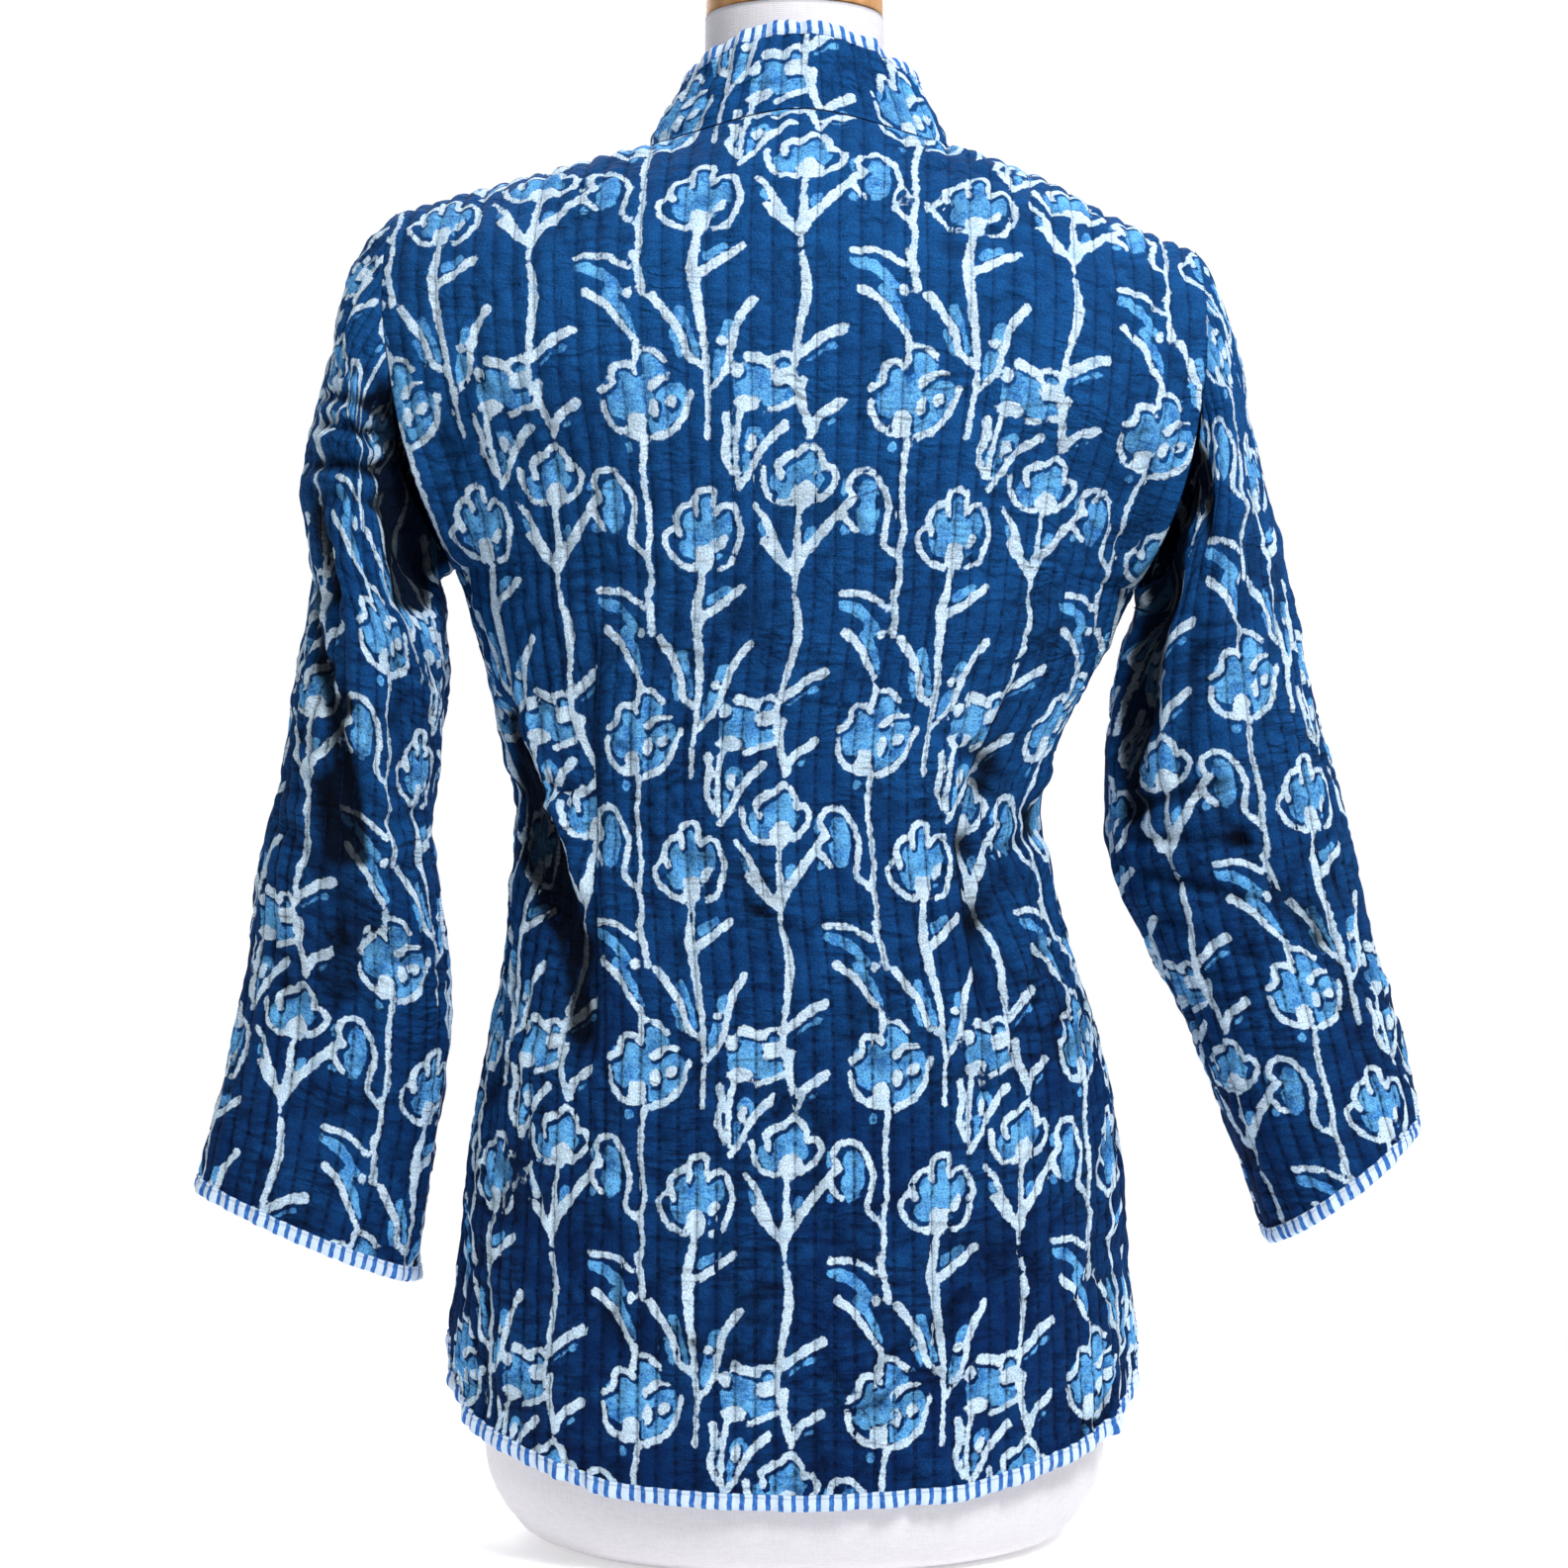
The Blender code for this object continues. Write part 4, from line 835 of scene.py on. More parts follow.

# %% [markdown]
# ## The printer's block
#
# The outer cotton is printed by hand, with paste that keeps the dye off where the lines are to stay
# pale. One block gives one repeat: tall stems with an open bloom, a crowned bloom, a drooping one, a
# round bud and a side bud, and pairs of leaves between them. The chart below is drawn in
# millimetres, as strokes with a width and as plain ovals. Each shape will become a distance: how far
# a place lies outside it. Distances blend smoothly between points of cloth, so the edges stay crisp
# however coarse the mesh is, and the material can make them ragged.

# %% Chart one repeat
REPEAT_ACROSS = 118.75
REPEAT_ALONG = 156.0
STROKE_COLUMNS = ("start_width", "end_width", "points")
PALE_STROKES = (
    (3.6, 3.4, ((-19, 3), (-14, 6), (-13, 13), (-6, 13.5), (-3.5, 11))),
    (3.4, 3.2, ((-3, 24), (-3.5, 15))),
    (3.0, 3.4, ((-1, 22), (4, 21), (9.5, 16.5))),
    (4.6, 2.4, ((3, 5), (8, 9), (15, 9.5))),
    (3.2, 3.8, ((-19, -2), (-18, -9), (-13, -15), (-6, -17.5))),
    (4.2, 3.0, ((3, -18.5), (11, -15), (17, -8), (19, -1))),
    (3.6, 3.6, ((20.5, 1.5), (20.5, 3.5))),
    (3.4, 3.0, ((-1, -19), (-2, -28), (-2.5, -38), (-1.5, -49), (-0.5, -60))),
    (3.0, 3.2, ((-0.5, -60), (-2, -70), (-1, -81), (-2, -90))),
    (3.4, 4.0, ((-3.5, -88), (-1, -98), (0.5, -108))),
    (3.8, 3.2, ((-28, -89), (-14, -90), (-5, -96))),
    (4.8, 3.0, ((-24, -107), (-15, -114), (-9, -123), (-3, -131))),
    (3.2, 3.2, ((21, -53), (22, -42.5), (29, -41.5), (29.5, -49))),
    (3.2, 3.2, ((30, -52), (34, -48.5), (38.5, -49), (41, -54))),
    (3.8, 3.2, ((13.5, -61), (11.5, -54), (15, -49), (20.5, -47))),
    (3.0, 3.6, ((11, -58), (6.5, -62), (9, -70), (14.5, -75), (20, -77))),
    (3.4, 3.2, ((41, -54), (42.5, -61), (40, -69), (37, -75.5), (32, -77))),
    (3.4, 5.4, ((24.5, -77), (23, -87), (21.5, -96))),
    (5.8, 3.2, ((21.5, -96), (24, -114), (26.5, -130), (27.5, -141))),
    (5.0, 4.2, ((23, -100), (30, -96), (37, -91), (43.5, -86.5))),
    (4.8, 3.4, ((4.5, -110), (10, -117), (17, -128), (19.5, -137), (26, -141.5))),
    (3.2, 3.0, ((27.5, -141), (28, -152))),
    (4.6, 3.0, ((48.5, -112.5), (42, -122), (39, -133), (36.5, -143), (29.5, -152))),
    (2.6, 3.2, ((28, 2), (27.5, -6), (27, -18))),
    (5.4, 4.2, ((46.5, 18), (52, 16.5), (57, 14.5))),
    (3.0, 3.0, ((57, 17), (63, 18.5), (66.5, 16))),
    (3.4, 3.4, ((53.5, -7.5), (60, -5.5), (66.5, -3))),
    (3.0, 5.2, ((69, -91), (71, -101), (71.5, -110))),
    (4.8, 2.4, ((71.5, -110), (69.5, -121), (67.5, -133), (66.5, -141))),
    (3.2, 3.0, ((67.5, 20), (66.5, 10), (67.5, 2))),
    (5.4, 4.4, ((87.5, 30), (80, 27), (74, 22.5), (67.5, 17.5))),
    (4.6, 3.8, ((70.5, 7), (69.5, 0), (71.5, -9), (74, -17))),
    (4.0, 5.2, ((74, -17.5), (78, -9), (84, -5.5), (87.5, -3))),
    (4.6, 3.2, ((35.5, -8.5), (36.5, -17), (34.5, -25), (38.5, -35))),
    (3.4, 2.8, ((43, -5), (41, -14), (40, -26), (40.5, -37))),
    (5.0, 3.4, ((62.5, -13.5), (56, -19), (50.5, -26), (47, -33))),
    (3.6, 3.6, ((41, -41), (45.5, -35))),
    (3.4, 3.6, ((67.5, -27), (73, -22.5), (78.5, -27.5), (79.5, -32))),
    (3.4, 3.6, ((79.5, -33), (83, -32), (86, -36.5), (83, -43), (77, -47.5))),
    (3.4, 3.2, ((52, -33.5), (53.5, -42), (58.5, -48), (66, -49))),
    (4.8, 3.6, ((65, -27), (59.5, -30.5), (60.5, -37))),
    (2.8, 5.0, ((70, -51), (69.5, -60), (70, -69), (68, -79))),
    (2.8, 4.6, ((48.5, -49), (54.5, -56.5), (59, -67))),
    (7.0, 4.4, ((58, -67), (63, -75), (67, -79))),
    (4.0, 3.6, ((53.5, -65), (58, -71))),
    (5.8, 4.6, ((68.5, -79.5), (73, -71.5), (78.5, -65), (84, -57.5), (88.5, -52.5))),
    (3.2, 2.6, ((68.7, -80), (68.7, -88))),
    (3.6, 3.4, ((94.5, -46), (91.5, -39.5), (94, -35), (102, -34), (107.5, -40))),
    (3.4, 3.4, ((107.5, -40), (111, -50), (109.5, -59), (109, -65), (116, -72))),
    (4.6, 3.4, ((94.5, -46), (89.5, -51), (92, -56), (96, -60))),
)
BLUE_STROKES = (
    (5.4, 3.6, ((-26, -94), (-17, -98), (-9, -106))),
    (4.6, 2.8, ((-14, -108), (-8, -117), (-4, -127))),
    (4.2, 3.0, ((28, -91), (36, -86.5))),
    (4.2, 3.0, ((16, -117), (20.5, -129), (23, -136))),
    (2.6, 2.2, ((13, -127), (16.5, -137))),
    (6.4, 4.4, ((38, -125), (35, -136), (31, -146))),
    (2.2, 2.6, ((71, 15.5), (77.5, 20))),
    (2.6, 2.2, ((38, -16), (37.5, -28))),
    (4.0, 3.6, ((72.5, -67), (76, -61))),
)
OVAL_COLUMNS = ("u", "v", "radius_u", "radius_v", "turn", "corners")
PLAIN_OVAL = {"turn": 0, "corners": 2}
PALE_OVALS = (
    (-4.4, -13, 3.9, 5.6, 0, 4), (3.8, -5, 2.3, 3.9, -5),
    (11.6, -1.8, 3.1, 2.4, 40), (-5.5, -108, 1.9, 2.5),
    (25, -72, 4.2, 5.6, 0, 4), (33.5, -65, 2.0, 3.9, -30),
    (34.5, -131, 2.3, 2.0), (41.5, 12, 2.8, 3.2),
    (62.5, 8.5, 5.6, 3.4, 10, 4), (45.5, -3, 6.0, 3.4),
    (47, -21, 2.1, 3.8, -15), (71.5, -45, 5.6, 5.2, 45, 3),
)
BLUE_OVALS = (
    (-9, 0.5, 9.5, 10.5), (3, 7, 7.5, 12.5),
    (10.5, -1, 8.5, 9.5), (3, -8, 9, 8),
    (-8, -23, 1.7, 2.1), (24.5, -62, 11.5, 10.5, 0, 3),
    (17, -57, 5, 8.5), (31.5, -58, 6.5, 9.5),
    (25, -49, 2.8, 6), (49.5, 5.5, 9.5, 10.5, 0, 3),
    (61, 0, 6, 6), (60, 12.5, 5.5, 2.6),
    (82, 22, 2.9, 1.7, 10), (81, -12, 3.0, 1.6, 25),
    (48.5, -19.5, 4.2, 5.2), (44.5, -27, 1.8, 2.2),
    (43.3, -33.5, 2.4, 3.8), (72, -34, 8.5, 10.5),
    (61, -41.5, 6.5, 6.5), (54, -60, 2.4, 4.0, 25),
    (101, -49.5, 5.2, 11.5), (90, -41.5, 1.6, 3.0),
    (91, -60, 2.0, 2.0),
)
print("pale shapes:", len(PALE_STROKES + PALE_OVALS), " blue:", len(BLUE_STROKES + BLUE_OVALS))

# %% [markdown]
# ## From the chart to distances
#
# A carver cuts the block once and prints it a thousand times. In the same way the chart is turned
# once into a small field of distances for each colour, over one repeat, and every piece reads it.

# %% Turn the chart into distances
BLOCK_STEP = 0.5
PARTS_OF_STROKE = 6
PASTE_SHRINK = 0.8
FILL_SPREAD = 0.3
REGISTER_GAP = 0.65
REGISTER_SHIFT = (1.0, -1.4)


def stroke_line(points):
    """A stroke's few points joined by a fair curve."""
    points = np.array(points, float)
    keys = length_along(points)
    at = np.linspace(0, keys[-1], PARTS_OF_STROKE * (len(points) - 1) + 1)
    return smooth_through(keys, points, at)


def from_here(u, v, centre):
    """u and v measured from a centre, on the nearest repeat of the block."""
    du = (u - centre[0] + REPEAT_ACROSS / 2) % REPEAT_ACROSS - REPEAT_ACROSS / 2
    dv = (v - centre[1] + REPEAT_ALONG / 2) % REPEAT_ALONG - REPEAT_ALONG / 2
    return du, dv


def stroke_distance(u, v, stroke, shrink):
    """How far a place lies outside a stroke that changes its width along the way."""
    line = stroke_line(stroke["points"])
    centre = line.mean(axis=0)
    du, dv = from_here(u, v, centre)
    line = line - centre
    widths = np.linspace(stroke["start_width"], stroke["end_width"], len(line)) / 2 - shrink / 2
    nearest = np.full(u.shape, 1e3)
    for start, end, width, next_width in zip(line[:-1], line[1:], widths[:-1], widths[1:]):
        way = end - start
        share = ((du - start[0]) * way[0] + (dv - start[1]) * way[1]) / (way @ way)
        share = np.clip(share, 0, 1)
        away = np.hypot(du - start[0] - share * way[0], dv - start[1] - share * way[1])
        nearest = np.minimum(nearest, away - width - (next_width - width) * share)
    return nearest


def oval_distance(u, v, oval):
    """How far a place lies outside an oval; more corners make it squarer."""
    du, dv = from_here(u, v, (oval["u"], oval["v"]))
    turn = math.radians(oval["turn"])
    along = du * math.cos(turn) + dv * math.sin(turn)
    away = dv * math.cos(turn) - du * math.sin(turn)
    power = oval["corners"]
    size = np.abs(along / oval["radius_u"]) ** power + np.abs(away / oval["radius_v"]) ** power
    return (size ** (1 / power) - 1) * min(oval["radius_u"], oval["radius_v"])


print("points in a short stroke:", len(stroke_line(((0, 0), (10, 0)))))


# %% Cut the block and read it
def cut_block():
    """The whole block as two fields of distances, in millimetres."""
    across = np.arange(round(REPEAT_ACROSS / BLOCK_STEP)) * REPEAT_ACROSS
    across = across / round(REPEAT_ACROSS / BLOCK_STEP)
    along = np.arange(0, REPEAT_ALONG, BLOCK_STEP)
    u, v = np.meshgrid(across, along)
    fields = {}
    for colour, strokes, ovals, shrink in (
        ("pale", PALE_STROKES, PALE_OVALS, PASTE_SHRINK),
        ("blue", BLUE_STROKES, BLUE_OVALS, 0.0),
    ):
        field = np.full(u.shape, 1e3)
        for row in strokes:
            stroke = dict(zip(STROKE_COLUMNS, row))
            field = np.minimum(field, stroke_distance(u, v, stroke, shrink))
        for row in ovals:
            oval = {**PLAIN_OVAL, **dict(zip(OVAL_COLUMNS, row))}
            field = np.minimum(field, oval_distance(u, v, oval))
        fields[colour] = field
    return fields


def read_block(field, u, v):
    """A field of distances read at places in the cloth, repeat after repeat."""
    rows, columns = field.shape
    at_column = u / REPEAT_ACROSS * columns
    at_row = v / REPEAT_ALONG * rows
    column, row = np.floor(at_column).astype(int), np.floor(at_row).astype(int)
    across, up = at_column - column, at_row - row
    left, right = column % columns, (column + 1) % columns
    low, high = row % rows, (row + 1) % rows
    near = field[low, left] * (1 - across) + field[low, right] * across
    far = field[high, left] * (1 - across) + field[high, right] * across
    return near * (1 - up) + far * up


block = cut_block()
print("share of the cloth left pale:", round(float((block["pale"] < 0).mean()), 3),
      " printed mid-blue:", round(float(((block["blue"] < 0) & (block["pale"] > 0)).mean()), 3))

# %% [markdown]
# ## Printing the cloth
#
# No two presses of a block fall quite alike, so the chart is shifted and bent by a millimetre or so
# from place to place. The second colour is pressed a little off the first one, which leaves a thin
# dark gap beside the pale lines. Each piece was cut from another stretch of the printed cloth, so it
# has its own starting place in the repeat.

# %% Print a piece
PRINT_PLACES = {
    "back": (-0.0670, -0.0135, 0.017),
    "front_left": (0.0300, -0.030, 0.0),
    "front_right": (0.0200, 0.010, 0.0),
    "sleeve_left": (-0.0140, 0.086, 0.0),
    "sleeve_right": (0.0450, 0.060, 0.0),
    "collar": (-0.0648, 0.0115, 0.0),
}
BEND = 1.1


def print_cloth(name, u, v):
    """The two distances at places u, v of a piece, in millimetres."""
    first_u, first_v, lean = PRINT_PLACES[name]
    across = (u - first_u - lean * v) * 1000
    along = (v - first_v) * 1000
    across = across + BEND * soft_noise(u / 0.045, v / 0.045, 71)
    along = along + BEND * soft_noise(u / 0.045, v / 0.045, 72)
    pale = read_block(block["pale"], across, along)
    blue = read_block(block["blue"], across, along)
    shifted = read_block(block["pale"], across - REGISTER_SHIFT[0], along - REGISTER_SHIFT[1])
    return pale, np.maximum(blue - FILL_SPREAD, REGISTER_GAP - shifted)


print("pieces with their own place in the repeat:", len(PRINT_PLACES))

# %% [markdown]
# ## Sewing the wall
#
# Each piece is a thin closed wall: a dense outer face that holds the quilting, a plain inner face
# with fewer points, and a rim that joins them. Points that fell together at a dart or a seam are
# merged, which closes a sleeve along its seam. The colours belong to the corners of the faces and not
# to the points, so that two bits of print can meet at one point without blending.

# %% Make a mesh from a laid-out piece
INNER_ROW_STEP = 4
MERGE = 1e7


def strip(low, high):
    """Triangles between two lines of point numbers of any lengths that start and end together."""
    triangles = []
    i, j = 0, 0
    while i < len(low) - 1 or j < len(high) - 1:
        low_share = (i + 1) / (len(low) - 1)
        high_share = (j + 1) / (len(high) - 1)
        if j == len(high) - 1 or (i < len(low) - 1 and low_share <= high_share):
            triangles.append((low[i], low[i + 1], high[j]))
            i += 1
        else:
            triangles.append((low[i], high[j + 1], high[j]))
            j += 1
    return np.array(triangles)


def thinned(count, step):
    """Every step-th number below count, and the last one."""
    kept = list(range(0, count - 1, step))
    return np.array(kept + [count - 1])


def cells(numbers):
    """Two triangles for each cell of a grid of numbers, and whether each corner is at its left."""
    a, b, c, d = numbers[:-1, :-1], numbers[:-1, 1:], numbers[1:, :-1], numbers[1:, 1:]
    triangles = np.concatenate(
        [np.stack([a, b, d], axis=-1).reshape(-1, 3), np.stack([a, d, c], axis=-1).reshape(-1, 3)]
    )
    half = len(triangles) // 2
    low_corners = np.tile((True, False, False), (half, 1))
    high_corners = np.tile((True, False, True), (half, 1))
    return triangles, np.concatenate([low_corners, high_corners])


def facing(points, triangles, outward):
    """The same triangles, turned so that they face the outward vectors of their first corners."""
    a, b, c = (points[triangles[:, corner]] for corner in range(3))
    size = np.cross(b - a, c - a)
    agree = np.sum(size * outward[triangles[:, 0]])
    return triangles if agree > 0 else triangles[:, ::-1]


print("triangles in a cell:", len(cells(np.arange(4).reshape(2, 2))[0]))


# %% A mesh and what its corners carry
def new_mesh(name, points, triangles):
    """A smooth-shaded object from points and triangles, with merged points and no empty faces."""
    rounded = np.round(points * MERGE).astype(np.int64)
    _, first, number = np.unique(rounded, axis=0, return_index=True, return_inverse=True)
    number = number.reshape(-1)
    merged = number[triangles]
    a, b, c = merged.T
    real = (a != b) & (b != c) & (c != a)
    merged = merged[real]
    mesh = bpy.data.meshes.new(name)
    mesh.vertices.add(len(first))
    mesh.vertices.foreach_set("co", points[first].astype(np.float32).ravel())
    mesh.loops.add(merged.size)
    mesh.loops.foreach_set("vertex_index", merged.astype(np.int32).ravel())
    mesh.polygons.add(len(merged))
    mesh.polygons.foreach_set("loop_start", np.arange(0, merged.size, 3, dtype=np.int32))
    mesh.update(calc_edges=True)
    mesh.shade_smooth()
    return add_object(name, mesh), triangles[real], real


def corner_numbers(target, name, values):
    """Stores one number for each corner of each face."""
    layer = target.data.attributes.new(name, "FLOAT", "CORNER")
    layer.data.foreach_set("value", values.astype(np.float32).ravel())


def corner_map(target, name, u, v):
    """Stores a UV map."""
    layer = target.data.uv_layers.new(name=name)
    layer.data.foreach_set("uv", np.stack([u.ravel(), v.ravel()], axis=1).astype(np.float32).ravel())


def flat_area(u, v):
    """The area of the cloth laid flat, from the places of its faces' corners."""
    across, along = u - u[:, :1], v - v[:, :1]
    doubled = across[:, 1] * along[:, 2] - along[:, 1] * across[:, 2]
    return float(np.abs(doubled).sum() / 2)


print("points merge within, mm:", 1000 / MERGE)


# %% Sew each piece
def sew(piece, closed):
    """The finished wall of one piece of cloth, with its print."""
    name = piece["name"]
    rows, columns = piece["v"].shape
    kept_rows = thinned(rows, INNER_ROW_STEP)
    kept_columns = thinned(columns, STEPS_PER_CHANNEL)
    outer = np.arange(rows * columns).reshape(rows, columns)
    inner_shape = (len(kept_rows), len(kept_columns))
    inner = rows * columns + np.arange(inner_shape[0] * inner_shape[1]).reshape(inner_shape)
    inner_points = piece["inner"][np.ix_(kept_rows, kept_columns)]
    points = np.concatenate([piece["outer"].reshape(-1, 3), inner_points.reshape(-1, 3)])
    chosen = np.concatenate([outer.ravel(), outer[np.ix_(kept_rows, kept_columns)].ravel()])
    outward = piece["normal"].reshape(-1, 3)[chosen]

    face, at_left = cells(outer)
    face = facing(points, face, outward)
    if face[0, 0] != 0:
        at_left = at_left[:, ::-1]
    back_face, _ = cells(inner)
    back_face = facing(points, back_face, -outward)
    rims = [strip(outer[0], inner[0]), strip(outer[-1], inner[-1])]
    if not closed:
        rims += [strip(outer[:, 0], inner[:, 0]), strip(outer[:, -1], inner[:, -1])]
    rim = np.concatenate(rims)
    triangles = np.concatenate([face, back_face, rim])
    left = np.concatenate([at_left, np.zeros((len(back_face) + len(rim), 3), bool)])

    result, kept, real = new_mesh(name + "_cloth", points, triangles)
    left = left[real]
    u_left = piece["u_left"].ravel()[chosen][kept]
    u_right = piece["u_right"].ravel()[chosen][kept]
    u = np.where(left, u_left, u_right)
    v = piece["v"].ravel()[chosen][kept]
    corner_map(result, "cloth", u, v)
    pale, blue = print_cloth(name, u, v)
    corner_numbers(result, "pale", pale)
    corner_numbers(result, "blue", blue)
    # The painted shade of creases, rows, darts and folds, for the material's colour
    corner_numbers(result, "shade", piece["shade"].ravel()[chosen][kept])
    outside = int(real[: len(face)].sum())
    piece["area"] = flat_area(u[:outside], v[:outside])
    piece["size"] = (float(np.ptp(u)), float(np.ptp(v)))
    return result


cloth_objects = {}
for name, piece in cloth.items():
    cloth_objects[name] = sew(piece, name.startswith("sleeve"))
    faces = len(cloth_objects[name].data.polygons)
    print(name, "faces:", faces, " flat area, m2:", round(piece["area"], 4))

# %% [markdown]
# ## Striped bias binding
#
# The raw edges of the collar, the hem, the centre fronts and the cuffs are closed by a narrow striped
# strip that is folded round them and stitched down. Cut on the bias, the strip bends round a curve
# without puckering. Here it is a flattened tube that runs along the edge of each piece, and its
# length is kept, so that the stripes stay evenly spaced round every bend.

# %% Make the bindings
BINDING_THICKNESS = 0.0030
BINDING_STEP = 0.0016
BINDING_PROFILE = (
    (0.000, 0.55), (0.060, 0.95),
    (0.200, 0.70), (0.420, 1.00),
    (0.700, 0.98), (0.900, 0.72),
    (1.000, 0.20),
)


def resample(line, fields, step, closed):
    """A line at even steps, with the fields that belong to its points."""
    if closed:
        line = np.concatenate([line, line[:1]])
        fields = [np.concatenate([field, field[:1]]) for field in fields]
    length = length_along(line)
    at = np.linspace(0, length[-1], max(round(length[-1] / step), 8) + 1)
    result = []
    for field in [line] + fields:
        result.append(np.stack([np.interp(at, length, field[:, axis]) for axis in range(3)], axis=1))
    return at, result


def bind_edge(name, edge, normals, reach, closed, seed):
    """A folded strip along an edge; reach points away from the cloth."""
    at, (edge, normals, reach) = resample(edge, [unit(normals), reach], BINDING_STEP, closed)
    normals = unit(normals)
    near, thick = np.array(BINDING_PROFILE).T
    away = SEAM_GAP / 3 + near * (BINDING_REACH - SEAM_GAP / 3)
    half = thick * BINDING_THICKNESS / 2
    away = np.concatenate([away, away[::-1]])
    half = np.concatenate([half, -half[::-1]])
    width = np.concatenate([near, 2 - near[::-1]]) * BINDING_WIDTH
    ripple = 1 + 0.10 * soft_noise(at[:, None] / 0.009, width[None] / 0.004, seed)
    middle = edge - normals * WALL / 2
    ring = middle[:, None] + reach[:, None] * away[None, :, None]
    ring = ring + normals[:, None] * (half[None] * ripple)[..., None]
    count, around = ring.shape[:2]
    ring = np.concatenate([ring, ring[:, :1]], axis=1)
    if closed:
        ring[-1] = ring[0]
    numbers = np.arange(count * (around + 1)).reshape(count, around + 1)
    points = ring.reshape(-1, 3)
    triangles, _ = cells(numbers)
    centre = np.repeat(ring[:, :-1].mean(axis=1), around + 1, axis=0)
    triangles = facing(points, triangles, points - centre)
    if not closed:
        for row in (0, -1):
            middle_point = len(points)
            points = np.concatenate([points, ring[row, :-1].mean(axis=0)[None]])
            fan = np.stack(
                [numbers[row, :-1], numbers[row, 1:], np.full(around, middle_point)], axis=1
            )
            way = edge[row] - edge[1 if row == 0 else -2]
            fan = facing(points, fan, np.tile(way, (len(points), 1)))
            triangles = np.concatenate([triangles, fan])
    result, kept, _ = new_mesh(name, points, triangles)
    width = np.concatenate([width, [2 * BINDING_WIDTH]])
    end_points = len(points) - numbers.size
    u = np.concatenate([np.repeat(at, around + 1), np.full(end_points, at[0])])
    v = np.concatenate([np.tile(width, count), np.zeros(end_points)])
    corner_map(result, "cloth", u[kept], v[kept])
    return result, float(at[-1])


def hem_line(piece):
    """The hem of a panel, with its normals and the way down, longer where the hem leans."""
    outer, normal, columns = piece["outer"], piece["normal"], piece["columns"]
    inside = (columns > piece["low"][0]) & (columns < piece["high"][0])
    inside[np.argmax(inside) - 1] = True
    inside[len(inside) - np.argmax(inside[::-1])] = True
    for legs in piece["cuts"]:
        inside &= ~((columns > legs[0, 0]) & (columns < legs[0, 1]))
    edge = outer[0, inside] + normal[0, inside] * SEAM_SINK
    down = unit(outer[0, inside] - outer[3, inside])
    from_centre = np.abs(edge[:, 0]) / np.abs(edge[:, 0]).max()
    turn = np.arcsin(np.clip(from_centre, 0, 1)) * 2 / np.pi
    return edge, normal[0, inside], down * read_table(HEM, HEM_COLUMNS, "lean", turn)[:, None]


print("thickness of a binding, mm:", BINDING_THICKNESS * 1000)

# %% Bind every edge
bindings = {}
hem, hem_normals, hem_reach = hem_line(cloth["back"])
bindings["binding_hem_back"] = bind_edge("back_hem_binding", hem, hem_normals, hem_reach, False, 61)
for side, hand in ((-1, "left"), (1, "right")):
    name = "front_" + hand
    hem, hem_normals, hem_reach = hem_line(cloth[name])
    if side > 0:
        hem, hem_normals, hem_reach = hem[::-1], hem_normals[::-1], hem_reach[::-1]
    column = -1 if side < 0 else 0
    centre_edge = cloth[name]["outer"][:, column]
    centre_normals = np.tile((0.0, 1.0, 0.0), (len(centre_edge), 1))
    centre_reach = np.tile((-side, 0.0, 0.0), (len(centre_edge), 1))
    corner = hem_reach[-1] + centre_reach[0]
    edge = np.concatenate([hem[:-1], centre_edge])
    edge_normals = np.concatenate([hem_normals[:-1], centre_normals])
    edge_reach = np.concatenate([hem_reach[:-1], corner[None], centre_reach[1:]])
    bindings["binding_" + name] = bind_edge(name + "_binding", edge, edge_normals, edge_reach, False, 62)
    sleeve = cloth["sleeve_" + hand]
    used = (sleeve["columns"] > sleeve["low"][0]) & (sleeve["columns"] < sleeve["high"][0])
    cuff = sleeve["outer"][0, used] + sleeve["normal"][0, used] * SEAM_SINK
    reach = unit(sleeve["outer"][0, used] - sleeve["outer"][3, used])
    made = bind_edge(sleeve["name"] + "_cuff_binding", cuff, sleeve["normal"][0, used], reach, True, 63)
    bindings["binding_cuff_" + hand] = made

collar = cloth["collar"]
used = (collar["columns"] >= collar["low"][-1]) & (collar["columns"] <= collar["high"][-1])
top, top_normals = collar["outer"][-1, used], collar["normal"][-1, used]
rise = unit(top - collar["outer"][-3, used])
edge = np.concatenate([collar["outer"][:-1, 0], top, collar["outer"][:-1, -1][::-1]])
edge_normals = np.concatenate([collar["normal"][:-1, 0], top_normals, collar["normal"][:-1, -1][::-1]])
below = len(collar["v"]) - 1
to_right, to_left = np.tile((1.0, 0, 0), (below, 1)), np.tile((-1.0, 0, 0), (below, 1))
rise[0] += (1, 0, 0)
rise[-1] -= (1, 0, 0)
edge_reach = np.concatenate([to_right, rise, to_left])
bindings["binding_collar"] = bind_edge("collar_binding", edge, edge_normals, edge_reach, False, 64)
for name, (strip_object, length) in bindings.items():
    print(name, "length, mm:", round(length * 1000))

# %% [markdown]
# ## The dress form and its cap
#
# Under the jacket stands a plain form covered in linen. It follows the jacket's own rule of surface,
# a few millimetres further in, so the cloth really has something to rest on. Above the shoulders it
# narrows to a neck, which is closed by a turned wooden cap.

# %% Build the form
FORM_COLUMNS = 48
FORM_NECK_ROWS = 40
FORM_NECK = ((0.85, 0.694, 1.000), (1.00, 0.712, 1.000), (1.00, 0.742, 0.985))
CAP_HEIGHT = 0.0325
CAP_PROFILE = (
    (0.975, 0.0000), (1.000, 0.0020),
    (0.990, 0.0120), (0.930, 0.0200),
    (0.780, 0.0265), (0.450, 0.0310),
)


